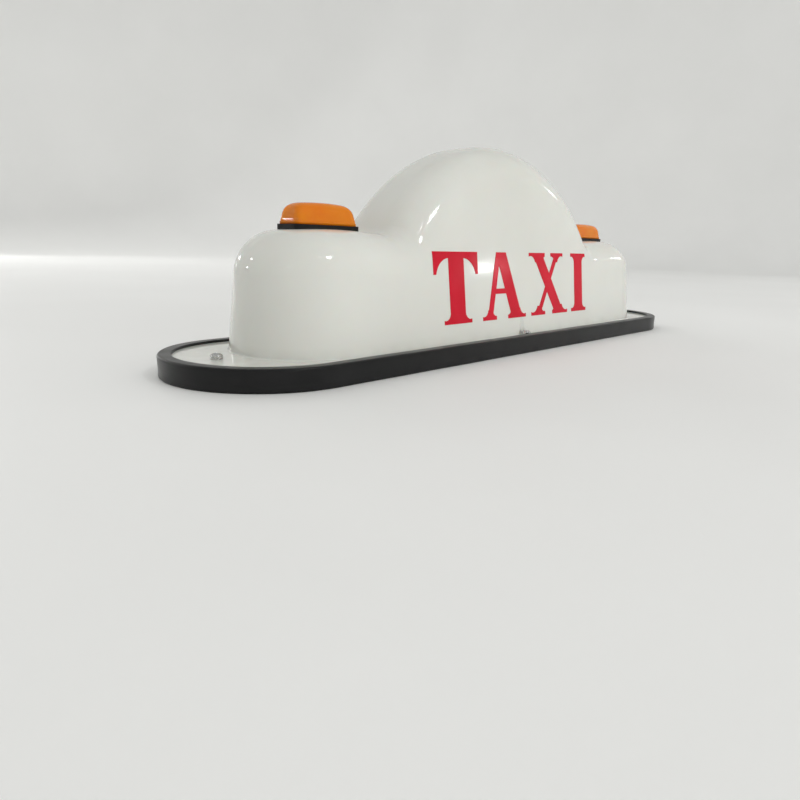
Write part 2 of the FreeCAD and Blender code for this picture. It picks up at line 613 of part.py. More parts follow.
def build_holder(x):
    """Bulb holder: a bridge of steel strip with a bayonet barrel on it."""
    bridge_low = BRACKET_BRIDGE_TOP - BRACKET_THICKNESS
    foot_end = BRACKET_RIVET_X + 5.0
    leg = BRACKET_RIVET_X - 5.0
    half = BRACKET_WIDTH / 2
    bracket = block(x - leg, x + leg, -half, half, bridge_low, BRACKET_BRIDGE_TOP)
    slot = block(x - WIRE_SPACING, x + WIRE_SPACING, -1.5, WIRE_SPACING + 3.5, bridge_low, BRACKET_BRIDGE_TOP)
    bracket = bracket.cut(slot)
    for side in (-1, 1):
        edges = sorted([x + side * leg, x + side * (leg - BRACKET_THICKNESS)])
        bracket = bracket.fuse(block(edges[0], edges[1], -half, half, PLATE_TOP, BRACKET_BRIDGE_TOP))
        edges = sorted([x + side * (leg - BRACKET_THICKNESS), x + side * foot_end])
        foot = block(edges[0], edges[1], -half, half, PLATE_TOP, PLATE_TOP + BRACKET_THICKNESS)
        bracket = bracket.fuse(foot)
        bracket = bracket.cut(cylinder(BRACKET_RIVET_RADIUS, PLATE_TOP, PLATE_TOP + BRACKET_THICKNESS,
                                       x + side * BRACKET_RIVET_X))
    barrel = tube(HOLDER_OUTER_RADIUS, HOLDER_INNER_RADIUS, BRACKET_BRIDGE_TOP, HOLDER_TOP, x)
    for turn in (0.0, 180.0):
        barrel = barrel.cut(bayonet_slot(x, turn))
    return bracket.fuse(barrel).removeSplitter()


def bayonet_slot(x, turn):
    """Hooked slot: entry from the top, a level leg, and the rise where the pin rests."""
    half = BAYONET_PIN_RADIUS + 0.2
    low = BAYONET_PIN_Z - BULB_PUSH - half
    reach = HOLDER_OUTER_RADIUS + 1.0
    entry = block(x, x + reach, -half, half, low, HOLDER_TOP)
    entry.rotate(Vector(x, 0, 0), Vector(0, 0, 1), BAYONET_TWIST_DEG)
    rest = block(x, x + reach, -half, half, low, BAYONET_PIN_Z + half)
    level = Part.makeCylinder(reach, 2 * half, Vector(x, 0, low), Vector(0, 0, 1), BAYONET_TWIST_DEG)
    slot = entry.multiFuse([rest, level])
    slot.rotate(Vector(x, 0, 0), Vector(0, 0, 1), turn)
    return slot


def build_insulator(x):
    """Insulating disc at the bottom of the holder barrel."""
    return cylinder(HOLDER_INNER_RADIUS - 0.05, BRACKET_BRIDGE_TOP, BRACKET_BRIDGE_TOP + 2.0, x)


def build_contact(x):
    """Bow of spring strip that presses on the bulb's centre contact."""
    base = BRACKET_BRIDGE_TOP + 2.0
    half = 2.0
    sheet = 0.35
    reach = 5.5
    inner = reach - sheet * 1.6
    outline = [Vector(x - reach, -half, base),
               (Vector(x, -half, BULB_BOTTOM), Vector(x + reach, -half, base)),
               Vector(x + inner, -half, base),
               (Vector(x, -half, BULB_BOTTOM - sheet), Vector(x - inner, -half, base))]
    return Part.Face(closed_wire(outline)).extrude(Vector(0, 2 * half, 0))


def build_bulb(x):
    """Bayonet bulb: brass cap with pins, glass envelope, filament on two posts."""
    cap_bottom = BULB_BOTTOM + 1.0
    cap_top = cap_bottom + 16.0
    bore = BULB_CAP_RADIUS - 0.4
    cap = cylinder(BULB_CAP_RADIUS, cap_bottom, cap_top, x).cut(cylinder(bore, cap_bottom + 4.0, cap_top, x))
    cap = cap.fuse(cylinder(2.5, BULB_BOTTOM, cap_bottom, x))
    for side in (-1, 1):
        pin = Part.makeCylinder(BAYONET_PIN_RADIUS, BAYONET_PIN_REACH - bore,
                                Vector(x + side * bore, 0, BAYONET_PIN_Z), Vector(side, 0, 0))
        cap = cap.fuse(pin)
    neck = bore - 0.3
    wall = 0.7
    neck_bottom = cap_bottom + 12.0
    globe = Part.makeSphere(BULB_GLASS_RADIUS, Vector(x, 0, BULB_GLASS_CENTRE_Z))
    envelope = globe.fuse(cylinder(neck, neck_bottom, BULB_GLASS_CENTRE_Z, x))
    hollow = Part.makeSphere(BULB_GLASS_RADIUS - wall, Vector(x, 0, BULB_GLASS_CENTRE_Z))
    hollow = hollow.fuse(cylinder(neck - wall, neck_bottom + 2.0, BULB_GLASS_CENTRE_Z, x))
    glass = envelope.cut(hollow)
    post = 0.3
    span = 3.0
    posts = [cylinder(post, neck_bottom + 2.0, BULB_GLASS_CENTRE_Z, x + side * span) for side in (-1, 1)]
    coil = Part.makeCylinder(0.5, 2 * span, Vector(x - span, 0, BULB_GLASS_CENTRE_Z), Vector(1, 0, 0))
    filament = coil.multiFuse(posts).removeSplitter()
    return cap, glass, filament


def build_bracket_rivets():
    """Blind rivets through the feet of the holder brackets."""
    rivets = []
    head = 3.2
    for x in BULB_PLACES.values():
        for side in (-BRACKET_RIVET_X, BRACKET_RIVET_X):
            top = PLATE_TOP + BRACKET_THICKNESS
            rivet = cylinder(BRACKET_RIVET_RADIUS - 0.02, PLATE_BOTTOM, top, x + side)
            rivet = rivet.fuse(cylinder(head, top, top + 1.0, x + side))
            rivets.append(rivet.fuse(cylinder(head, PLATE_BOTTOM - 0.9, PLATE_BOTTOM, x + side)))
    return rivets


# ---- Amber side markers -------------------------------------------------------------------------
def lens_form(x, inset, bottom, top):
    """Truncated pyramid with rounded upright and top edges."""
    base_length = MARKER_LENGTH - 2 * (LENS_BASE_STEP + inset)
    base_depth = MARKER_DEPTH - 2 * (LENS_BASE_STEP + inset)
    top_length = LENS_TOP_LENGTH - 2 * inset
    top_depth = LENS_TOP_DEPTH - 2 * inset

    def ring(length, depth, z):
        return closed_wire([Vector(x - length / 2, -depth / 2, z), Vector(x + length / 2, -depth / 2, z),
                            Vector(x + length / 2, depth / 2, z), Vector(x - length / 2, depth / 2, z)])

    rings = [ring(base_length, base_depth, bottom), ring(top_length, top_depth, top)]
    form = Part.makeLoft(rings, True, True)
    upright = [edge for edge in form.Edges if edge.BoundBox.ZLength > 1.0]
    form = form.makeFillet(LENS_CORNER_RADIUS - inset / 2, upright)
    rim = [edge for edge in form.Edges if edge.BoundBox.ZMin > top - 0.01]
    return form.makeFillet(LENS_EDGE_RADIUS - inset / 2, rim)


def build_marker(x, outer):
    """Amber marker: gasket shaped to the shoulder, hollow lens, circuit board and its LEDs."""
    gasket_low = SHOULDER_TOP - 4.0
    gasket = rounded_slab(MARKER_LENGTH + 2 * MARKER_GASKET_MARGIN, MARKER_DEPTH + 2 * MARKER_GASKET_MARGIN,
                          4.0, gasket_low, MARKER_GASKET_TOP, x).cut(outer)
    flange_top = MARKER_GASKET_TOP + LENS_FLANGE_THICKNESS
    flange = rounded_slab(MARKER_LENGTH, MARKER_DEPTH, 3.0, MARKER_GASKET_TOP, flange_top, x)
    lens = flange.fuse(lens_form(x, 0.0, MARKER_GASKET_TOP, LENS_TOP)).removeSplitter()
    lens = lens.cut(lens_form(x, LENS_WALL, MARKER_GASKET_TOP, LENS_TOP - LENS_WALL))
    board_top = MARKER_GASKET_TOP + BOARD_THICKNESS
    board = rounded_slab(42.0, 12.0, 1.5, MARKER_GASKET_TOP, board_top, x)
    for side in (-0.5, 0.5):
        screw_x = x + side * MARKER_SCREW_SPACING
        hole = cylinder(MARKER_SCREW_RADIUS + 0.05, gasket_low, board_top, screw_x)
        gasket = gasket.cut(hole)
        board = board.cut(hole)
        lens = lens.fuse(cylinder(PILLAR_RADIUS, board_top, LENS_TOP - LENS_WALL / 2, screw_x))
        lens = lens.cut(cylinder(MARKER_SCREW_RADIUS, board_top, board_top + 6.0, screw_x))
    wire_hole = cylinder(MARKER_WIRE_HOLE_RADIUS, gasket_low, MARKER_GASKET_TOP, x)
    gasket = gasket.cut(wire_hole)
    leds = []
    bullet_top = board_top + 3.2
    for led_x in (x - LED_SPACING, x, x + LED_SPACING):
        base = cylinder(LED_RADIUS + 0.4, board_top, board_top + 1.0, led_x)
        bullet = cylinder(LED_RADIUS, board_top + 1.0, bullet_top, led_x)
        leds.append(base.multiFuse([bullet, Part.makeSphere(LED_RADIUS, Vector(led_x, 0, bullet_top))]))
    return gasket, lens, board, leds


def build_marker_screws():
    """Screws from inside the shell, through gasket and board into the lens pillars."""
    screws = []
    head_top = SHOULDER_TOP - SHELL_THICKNESS - 0.6
    for marker_x in (-MARKER_X, MARKER_X):
        for side in (-0.5, 0.5):
            x = marker_x + side * MARKER_SCREW_SPACING
            shank = cylinder(MARKER_SCREW_RADIUS - 0.05, head_top, MARKER_GASKET_TOP + 6.5, x)
            head = cylinder(2.9, head_top - 1.8, head_top, x)
            slot = cross_recess(x, 0, head_top - 0.9, 3.0, 0.7, 0.9)
            screws.append(shank.fuse(head).cut(slot))
    return screws


# ---- Inner wiring -------------------------------------------------------------------------------
def wire_tube(points):
    """Insulated wire along straight runs joined by tangent arcs."""
    edges = []
    start = points[0]
    for before, corner, after in zip(points, points[1:], points[2:]):
        share = WIRE_BEND_SHARE * min((corner - before).Length, (after - corner).Length)
        back = (before - corner).normalize()
        onwards = (after - corner).normalize()
        into = corner + back * share
        out = corner + onwards * share
        half = back.getAngle(onwards) / 2
        radius = share * math.tan(half)
        middle = corner + (back + onwards).normalize() * (radius / math.sin(half) - radius)
        edges.append(Part.LineSegment(start, into).toShape())
        edges.append(Part.Arc(into, middle, out).toShape())
        start = out
    edges.append(Part.LineSegment(start, points[-1]).toShape())
    section = Part.Wire([Part.makeCircle(WIRE_RADIUS, points[0], points[1] - points[0])])
    return Part.Wire(edges).makePipeShell([section], True, True)


def feed_route(pole_x, bulb_x):
    """Route from a pole of the terminal block to the underside of a holder's insulator."""
    z = WIRE_HEIGHT
    front = TERMINAL_Y - TERMINAL_DEPTH / 2
    if abs(bulb_x) < TERMINAL_PITCH:
        return [Vector(pole_x, TERMINAL_Y + 2.0, z), Vector(pole_x, -15.0, z), Vector(bulb_x, -6.0, z),
                Vector(bulb_x, 0, z), Vector(bulb_x, 0, BRACKET_BRIDGE_TOP)]
    side = math.copysign(1.0, bulb_x)
    return [Vector(pole_x, TERMINAL_Y - 2.0, z), Vector(pole_x, front - 5.0, z),
            Vector(pole_x + side * 9.0, front - 9.0, z), Vector(pole_x + side * 26.0, front - 8.0, z),
            Vector(pole_x + side * 60.0, front + 3.0, z), Vector(bulb_x - side * 38.0, front + 5.0, z),
            Vector(bulb_x - side * 12.0, front + 12.0, z), Vector(bulb_x, front + 24.0, z),
            Vector(bulb_x, 0, z), Vector(bulb_x, 0, BRACKET_BRIDGE_TOP)]


def marker_route(side, lane):
    """Route from a shoulder's bulb holder up to the marker above it, in one of two lanes."""
    z = WIRE_HEIGHT - 0.5
    shift = lane * WIRE_SPACING
    start_x = BULB_PLACES["right"] + WIRE_SPACING / 2 - shift
    start_y = WIRE_SPACING + 2.0
    end_x = MARKER_X + WIRE_SPACING / 2 - shift
    route = [(start_x, start_y, BRACKET_BRIDGE_TOP), (start_x, start_y, z), (start_x, 17.0 + shift, z),
             (start_x + 12.0 + shift, 29.0 + shift, z + 4.0), (end_x - 8.0, 32.0 + shift, z + 18.0),
             (end_x - 1.0, 26.0 + shift, z + 42.0), (end_x, 8.0, z + 62.0),
             (end_x, 0.0, z + 76.0), (end_x, 0.0, MARKER_GASKET_TOP)]
    return [Vector(side * x, y, height) for x, y, height in route]


def build_wiring():
    """Wires from the terminal block to the bulb holders, and on to the side markers."""
    poles = pole_positions()
    routes = [feed_route(poles[0], BULB_PLACES["left"]), feed_route(poles[1], BULB_PLACES["centre"]),
              feed_route(poles[3], BULB_PLACES["right"])]
    routes += [marker_route(side, lane) for side in (-1, 1) for lane in (0, 1)]
    return [wire_tube(route) for route in routes]


# ---- Everything ---------------------------------------------------------------------------------
def main():
    os.makedirs("parts", exist_ok=True)
    outer = body_solid(0.0, 0.0)
    write("shell", build_shell(outer))
    write("edge_trim", build_trim())
    write("base_gasket", build_base_gasket())
    write("base_plate", build_base_plate())

    screws, washers, nuts = build_flange_fasteners()
    write("flange_screws", screws)
    write("flange_washers", washers)
    write("flange_nuts", nuts)

    letters = build_lettering(outer)
    write("front_lettering", letters)
    for letter in letters:
        letter.rotate(Vector(0, 0, 0), Vector(0, 0, 1), 180.0)
    write("rear_lettering", letters)

    for side, x in (("left", -MARKER_X), ("right", MARKER_X)):
        gasket, lens, board, leds = build_marker(x, outer)
        write(side + "_marker_gasket", gasket)
        write(side + "_marker_lens", lens)
        write(side + "_marker_board", board)
        write(side + "_marker_leds", leds)
    write("marker_screws", build_marker_screws())

    for place, x in MAGNET_PLACES.items():
        boot, cup, ring, stud = build_magnet_foot(x)
        write(place + "_magnet_boot", boot)
        write(place + "_magnet_cup", cup)
        write(place + "_magnet_ring", ring)
        write(place + "_magnet_screw", stud)
    for side, x in CUP_PLACES.items():
        write(side + "_suction_cup", build_suction_cup(x))
    write("rivet_nuts", [build_rivet_nut(x, y) for x in (-RIVET_NUT_X, RIVET_NUT_X)
                         for y in (-RIVET_NUT_Y, RIVET_NUT_Y)])
    write("cable_grommet", build_grommet())

    terminal, clamps = build_terminal_block()
    write("terminal_block", terminal)
    write("terminal_screws", clamps)
    for place, x in BULB_PLACES.items():
        cap, glass, filament = build_bulb(x)
        write(place + "_bulb_holder", build_holder(x))
        write(place + "_holder_insulator", build_insulator(x))
        write(place + "_holder_contact", build_contact(x))
        write(place + "_bulb_cap", cap)
        write(place + "_bulb_glass", glass)
        write(place + "_bulb_filament", filament)
    write("holder_rivets", build_bracket_rivets())
    write("inner_wiring", build_wiring())


main()
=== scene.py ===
import json
import math

import bpy
from mathutils import Matrix, Vector, noise


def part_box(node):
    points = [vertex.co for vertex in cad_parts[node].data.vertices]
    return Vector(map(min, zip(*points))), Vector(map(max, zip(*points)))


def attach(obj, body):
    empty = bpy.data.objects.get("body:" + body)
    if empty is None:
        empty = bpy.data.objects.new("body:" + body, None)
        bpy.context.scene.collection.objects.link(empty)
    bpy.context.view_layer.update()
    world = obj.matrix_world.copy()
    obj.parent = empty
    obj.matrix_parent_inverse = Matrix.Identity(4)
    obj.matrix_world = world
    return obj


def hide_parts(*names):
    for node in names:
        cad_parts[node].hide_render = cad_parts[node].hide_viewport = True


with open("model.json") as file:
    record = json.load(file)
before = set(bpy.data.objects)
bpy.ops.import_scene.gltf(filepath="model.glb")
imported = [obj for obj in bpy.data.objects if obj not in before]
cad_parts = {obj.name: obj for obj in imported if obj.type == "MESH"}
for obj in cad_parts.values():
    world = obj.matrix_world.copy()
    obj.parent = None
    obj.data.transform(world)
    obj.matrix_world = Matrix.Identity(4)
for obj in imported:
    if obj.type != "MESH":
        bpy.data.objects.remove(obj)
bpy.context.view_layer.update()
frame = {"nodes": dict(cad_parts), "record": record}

MM = 0.001
HOUSING = "housing"

# ---- Camera and studio --------------------------------------------------------------------------
CAMERA_PLACE = (-0.491, -0.377, 0.088)
CAMERA_HEADING = math.radians(49.2)     # from +Y towards +X
CAMERA_DIP = math.radians(15.5)
CAMERA_ROLL = math.radians(1.66)
CAMERA_LENS = 29.6
CAMERA_SHIFT = (-0.042, 0.0325)
FLOOR_RADIUS = 2.0
WALL_RADIUS = 3.2
WALL_HEIGHT = 3.0

# Soft banks of light, which don't show as reflections: name, place, width, height, watts, colour
SOFT_BANKS = [
    ("overhead", (-0.3, 0.1, 2.8), 3.4, 2.8, 11.0, (1.0, 0.99, 0.96)),
    ("front_low", (0.2, -2.2, 0.40), 3.0, 0.7, 13.5, (1.0, 1.0, 0.985)),
    ("front_high", (0.6, -2.2, 2.1), 2.2, 1.2, 1.5, (1.0, 1.0, 0.985)),
    ("right_bank", (2.5, -0.8, 1.0), 1.6, 1.4, 4.0, (1.0, 1.0, 0.985)),
    ("back_bank", (0.3, 2.6, 1.2), 2.6, 1.4, 14.0, (1.0, 1.0, 0.985)),
]
# Small bare lamps, which show as highlights: name, heading from +Y towards +X, elevation (degrees),
# width, height, watts
LAMPS = [
    ("lamp_front", 170.0, 47.0, 0.42, 0.22, 7.0),
    ("lamp_front_left", -168.0, 51.0, 0.09, 0.09, 1.2),
    ("lamp_left", -113.0, 27.0, 0.07, 0.07, 0.8),
    ("lamp_left_high", -38.0, 25.0, 0.09, 0.09, 1.4),
    ("lamp_left_low", -38.0, 13.0, 0.09, 0.09, 1.2),
    ("lamp_end_high", -1.0, 11.0, 0.09, 0.09, 1.4),
    ("lamp_end_low", 2.0, 5.0, 0.07, 0.07, 0.8),
    ("lamp_low", 127.6, 5.6, 0.10, 0.02, 0.22),
    ("lamp_far", 105.0, 19.0, 0.05, 0.10, 0.5),
]
LAMP_DISTANCE = 2.7
OBJECT_MIDDLE = Vector((0.0, 0.0, 0.08))
WHITE = (1.0, 1.0, 1.0)
WORLD_COLOUR = (0.92, 0.93, 0.92, 1.0)
WORLD_STRENGTH = 0.50


# ---- Shader helpers -----------------------------------------------------------------------------
TONE_DETAIL = 4.0
GLOSS_DETAIL = 5.0
DUST_DETAIL = 6.0
# Darker patches towards the foot of the shell's wall and its flange: their noise detail, and the heights
# where they are full and gone
FOOT_DARKENING_DETAIL = 5.0
FOOT_DARKENING_HEIGHTS = (0.013, 0.021)  # metres: full at the first, gone at the second
RELIEF_DETAIL = 2.0
MIX_COLOUR_INPUTS = (6, 7)      # the colour sockets of a Mix node
MIX_COLOUR_OUTPUT = 2


def add(tree, kind, inputs=None, **properties):
    """New shader node with its properties set and its inputs set or linked."""
    node = tree.nodes.new(kind)
    for key, value in properties.items():
        setattr(node, key, value)
    for key, value in (inputs or {}).items():
        if isinstance(value, bpy.types.NodeSocket):
            tree.links.new(value, node.inputs[key])
        else:
            node.inputs[key].default_value = value
    return node


def grain(tree, scale, detail, stretch=(1.0, 1.0, 1.0)):
    """Noise in the object's own metres, from 0 to 1; stretch multiplies its fineness per axis."""
    place = add(tree, "ShaderNodeTexCoord").outputs["Object"]
    mapped = add(tree, "ShaderNodeMapping", {"Vector": place, "Scale": stretch})
    inputs = {"Vector": mapped.outputs["Vector"], "Scale": scale, "Detail": detail}
    return add(tree, "ShaderNodeTexNoise", inputs).outputs["Fac"]


def spread(tree, value, low, high, start=0.3, end=0.7):
    """Value from start to end, mapped to low to high and held there."""
    inputs = {"Value": value, "From Min": start, "From Max": end, "To Min": low, "To Max": high}
    return add(tree, "ShaderNodeMapRange", inputs, clamp=True).outputs["Result"]


def times(tree, first, second):
    """Product of two values."""
    node = add(tree, "ShaderNodeMath", operation="MULTIPLY")
    for socket, value in zip(node.inputs, (first, second)):
        if isinstance(value, bpy.types.NodeSocket):
            tree.links.new(value, socket)
        else:
            socket.default_value = value
    return node.outputs["Value"]


def mixed(tree, factor, first, second):
    """Colour between two colours or colour sockets."""
    node = add(tree, "ShaderNodeMix", {"Factor": factor}, data_type="RGBA")
    for index, value in zip(MIX_COLOUR_INPUTS, (first, second)):
        if isinstance(value, bpy.types.NodeSocket):
            tree.links.new(value, node.inputs[index])
        else:
            node.inputs[index].default_value = (*value, 1.0)
    return node.outputs[MIX_COLOUR_OUTPUT]


def facing_up(tree):
    """1 where a surface looks up, 0 where it is upright or looks down."""
    normal = add(tree, "ShaderNodeNewGeometry").outputs["Normal"]
    height = add(tree, "ShaderNodeSeparateXYZ", {"Vector": normal}).outputs["Z"]
    return spread(tree, height, 0.0, 1.0, 0.5, 1.0)


def height_mask(tree, low, high):
    """1 at a height of low, 0 at high, in metres."""
    place = add(tree, "ShaderNodeTexCoord").outputs["Object"]
    height = add(tree, "ShaderNodeSeparateXYZ", {"Vector": place}).outputs["Z"]
    return spread(tree, height, 1.0, 0.0, low, high)


def finish(name, dark, light, tone_scale, rough, rough_scale, bumps, dust=None, **sockets):
    """Principled material with uneven tone and gloss, stacked relief and optional dust on top.

    Each of bumps is (fineness, depth in metres, pull); dust is (colour, amount, fineness).
    """
    material = bpy.data.materials.new(name)
    material.use_nodes = True
    tree = material.node_tree
    surface = tree.nodes["Principled BSDF"]
    for socket, value in sockets.items():
        surface.inputs[socket.replace("_", " ")].default_value = value
    tone = mixed(tree, spread(tree, grain(tree, tone_scale, TONE_DETAIL), 0.0, 1.0), dark, light)
    if dust:
        colour, amount, fineness = dust
        patches = spread(tree, grain(tree, fineness, DUST_DETAIL), 0.0, amount, 0.4, 0.75)
        tone = mixed(tree, times(tree, patches, facing_up(tree)), tone, colour)
    tree.links.new(tone, surface.inputs["Base Color"])
    gloss = spread(tree, grain(tree, rough_scale, GLOSS_DETAIL), rough[0], rough[1])
    tree.links.new(gloss, surface.inputs["Roughness"])
    normal = None
    for scale, depth, pull in bumps:
        inputs = {"Height": grain(tree, scale, RELIEF_DETAIL, pull), "Distance": depth, "Strength": 1.0}
        if normal:
            inputs["Normal"] = normal
        normal = add(tree, "ShaderNodeBump", inputs).outputs["Normal"]
    if normal:
        tree.links.new(normal, surface.inputs["Normal"])
    return material


# Pull of a relief: how much finer it is along each axis
EVEN = (1.0, 1.0, 1.0)
LENGTHWISE = (0.05, 1.0, 1.0)
ACROSS = (1.0, 0.2, 1.0)
LEVEL = (1.0, 1.0, 14.0)


def shell_material():
    """Glossy moulded white: faint orange peel, slow waviness, and darker patches towards the foot of the
    wall.
    """
    material = finish("shell_white_gloss", (0.70, 0.70, 0.655), (0.755, 0.76, 0.715), 9.0, (0.07, 0.13), 40.0,
                      [(11.0, 0.0006, EVEN), (260.0, 0.000008, EVEN)],
                      dust=((0.62, 0.61, 0.56), 0.12, 160.0),
                      Subsurface_Weight=0.12, Subsurface_Scale=0.004, Coat_Weight=0.15, Coat_Roughness=0.03)
    tree = material.node_tree
    surface = tree.nodes["Principled BSDF"]
    tone = surface.inputs["Base Color"].links[0].from_socket
    # Colour made darker in patches in a band at the foot of the wall and over the flange, fading out by 21 mm
    # up
    patches = spread(tree, grain(tree, 70.0, FOOT_DARKENING_DETAIL), 0.05, 0.35)
    foot_darkening = times(tree, height_mask(tree, *FOOT_DARKENING_HEIGHTS), patches)
    tree.links.new(mixed(tree, foot_darkening, tone, (0.50, 0.49, 0.44)), surface.inputs["Base Color"])
    return material


def amber_material():
    """Clear amber plastic with flow streaks, over fine optic ribs that are in the mesh."""
    return finish("amber_plastic", (0.96, 0.24, 0.003), (1.0, 0.32, 0.006), 45.0, (0.03, 0.08), 120.0,
                  [(90.0, 0.00006, EVEN)], Transmission_Weight=0.34, IOR=1.5, Specular_IOR_Level=0.26)


def glass_material():
    """Thin blown glass with faint ripples."""
    return finish("blown_glass", (0.96, 0.97, 0.97), (1.0, 1.0, 1.0), 60.0, (0.01, 0.03), 80.0,
                  [(55.0, 0.0001, EVEN)], Transmission_Weight=0.97, IOR=1.5)


def zinc_sheet():
    """Zinc-plated sheet with rolling marks and cloudy passivation."""
    return finish("zinc_sheet", (0.42, 0.43, 0.44), (0.60, 0.61, 0.60), 22.0, (0.26, 0.46), 30.0,
                  [(420.0, 0.000012, LENGTHWISE), (60.0, 0.00003, EVEN)], Metallic=1.0)


def bright_zinc():
    """Bright plated fasteners with small scratches and a cloudy bloom."""
    return finish("bright_zinc", (0.55, 0.55, 0.54), (0.74, 0.74, 0.73), 260.0, (0.16, 0.34), 500.0,
                  [(900.0, 0.00001, ACROSS)], Metallic=1.0)


def rubber(name, rough=(0.28, 0.36), dust=0.08):
    """Black rubber with extrusion lines, fine grain and a little dust on top."""
    return finish(name, (0.006, 0.006, 0.0065), (0.009, 0.009, 0.0095), 60.0, rough, 90.0,
                  [(70.0, 0.00006, LEVEL), (1400.0, 0.00001, EVEN)],
                  dust=((0.16, 0.155, 0.145), dust, 420.0), Specular_IOR_Level=0.24)


def circuit_material():
    """White solder mask with pale tracks under it."""
    material = finish("solder_mask", (0.70, 0.71, 0.68), (0.80, 0.81, 0.78), 120.0, (0.22, 0.34), 300.0,
                      [(900.0, 0.000008, EVEN)])
    tree = material.node_tree
    surface = tree.nodes["Principled BSDF"]
    tone = surface.inputs["Base Color"].links[0].from_socket
    place = add(tree, "ShaderNodeTexCoord").outputs["Object"]
    inputs = {"Vector": place, "Scale": 90.0, "Distortion": 1.5}
    lanes = add(tree, "ShaderNodeTexWave", inputs, bands_direction="Y")
    tracks = spread(tree, lanes.outputs["Fac"], 0.0, 0.5, 0.80, 0.86)
    tree.links.new(mixed(tree, tracks, tone, (0.55, 0.60, 0.50)), surface.inputs["Base Color"])
    return material


def build_materials():
    """One material for each material slot of the record."""
    return {
        "shell_white": shell_material(),
        "trim_rubber": rubber("trim_rubber_satin"),
        "seal_rubber": rubber("seal_rubber_matt", rough=(0.42, 0.6), dust=0.04),
        "boot_rubber": rubber("boot_rubber_matt", rough=(0.5, 0.7)),
        "cup_rubber": rubber("cup_rubber_smooth", rough=(0.18, 0.3), dust=0.0),
        "foam_gasket": finish("closed_cell_foam", (0.02, 0.02, 0.02), (0.05, 0.05, 0.05), 400.0,
                              (0.75, 0.95), 300.0, [(1500.0, 0.0001, EVEN)]),
        "plate_steel": zinc_sheet(),
        "bright_steel": bright_zinc(),
        "rivet_aluminium": finish("rivet_aluminium", (0.62, 0.62, 0.63), (0.80, 0.80, 0.80), 300.0,
                                  (0.3, 0.5), 400.0, [(700.0, 0.00002, EVEN)], Metallic=1.0),
        "letter_red": finish("crimson_film", (0.56, 0.006, 0.022), (0.65, 0.010, 0.032), 35.0,
                             (0.10, 0.20), 90.0, [(11.0, 0.0006, EVEN), (420.0, 0.000006, EVEN)],
                             Specular_IOR_Level=0.16),
        "amber_lens": amber_material(),
        "circuit_board": circuit_material(),
        "led_resin": finish("tinted_resin", (0.90, 0.62, 0.20), (0.97, 0.75, 0.32), 300.0,
                            (0.03, 0.08), 300.0, [(500.0, 0.00001, EVEN)],
                            Transmission_Weight=0.5, IOR=1.54),
        "ferrite": finish("sintered_ferrite", (0.018, 0.018, 0.02), (0.06, 0.06, 0.06), 500.0,
                          (0.55, 0.8), 400.0, [(900.0, 0.00006, EVEN)]),
        "phenolic": finish("paper_laminate", (0.16, 0.075, 0.03), (0.25, 0.12, 0.05), 300.0,
                           (0.35, 0.5), 200.0, [(800.0, 0.00002, LEVEL)]),
        "spring_bronze": finish("spring_bronze", (0.50, 0.30, 0.14), (0.66, 0.42, 0.21), 150.0,
                                (0.2, 0.36), 400.0, [(900.0, 0.00001, LENGTHWISE)], Metallic=1.0),
        "brass": finish("drawn_brass", (0.58, 0.42, 0.17), (0.74, 0.56, 0.25), 160.0,
                        (0.18, 0.36), 300.0, [(800.0, 0.00001, LEVEL)], Metallic=1.0),
        "bulb_glass": glass_material(),
        "tungsten": finish("tungsten_wire", (0.20, 0.20, 0.21), (0.34, 0.34, 0.35), 2000.0,
                           (0.35, 0.55), 900.0, [(4000.0, 0.00001, EVEN)], Metallic=1.0),
        "terminal_plastic": finish("natural_polyamide", (0.62, 0.62, 0.56), (0.72, 0.72, 0.66), 90.0,
                                   (0.4, 0.55), 200.0, [(900.0, 0.00002, EVEN)],
                                   Subsurface_Weight=0.2, Subsurface_Scale=0.002),
        "wire_insulation": finish("red_insulation", (0.32, 0.012, 0.010), (0.44, 0.02, 0.016), 150.0,
                                  (0.3, 0.45), 300.0, [(1200.0, 0.00001, LENGTHWISE)]),
    }


# ---- Mesh helpers -------------------------------------------------------------------------------
def piece(name, build, body, slot, node):
    """New smooth object that rides on a body and stands for a CAD node."""
    mesh = bpy.data.meshes.new(name)
    mesh.from_pydata(build.vertices, [], build.faces)
    mesh.validate()
    mesh.polygons.foreach_set("use_smooth", [True] * len(mesh.polygons))
    obj = bpy.data.objects.new(name, mesh)
    bpy.context.scene.collection.objects.link(obj)
    obj.modifiers.new("even_shading", "WEIGHTED_NORMAL")
    mesh.materials.append(MATERIALS[slot])
    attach(obj, body)
    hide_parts(node)
    return obj


def rounded(outline, radius, steps=4, closed=True):
    """Outline of points with its corners rounded off; radius is one number or one for each point."""
    result = []
    count = len(outline)
    radii = radius if isinstance(radius, (list, tuple)) else [radius] * count
    for index, corner in enumerate(outline):
        if radii[index] == 0.0 or (not closed and index in (0, count - 1)):
            result.append(tuple(corner))
            continue
        here = Vector(corner)
        before = Vector(outline[index - 1]) - here
        after = Vector(outline[(index + 1) % count]) - here
        cut = min(radii[index], before.length * 0.45, after.length * 0.45)
        start = here + before.normalized() * cut
        end = here + after.normalized() * cut
        for step in range(steps + 1):
            t = step / steps
            result.append(tuple(start * (1 - t) ** 2 + here * 2 * t * (1 - t) + end * t ** 2))
    return result


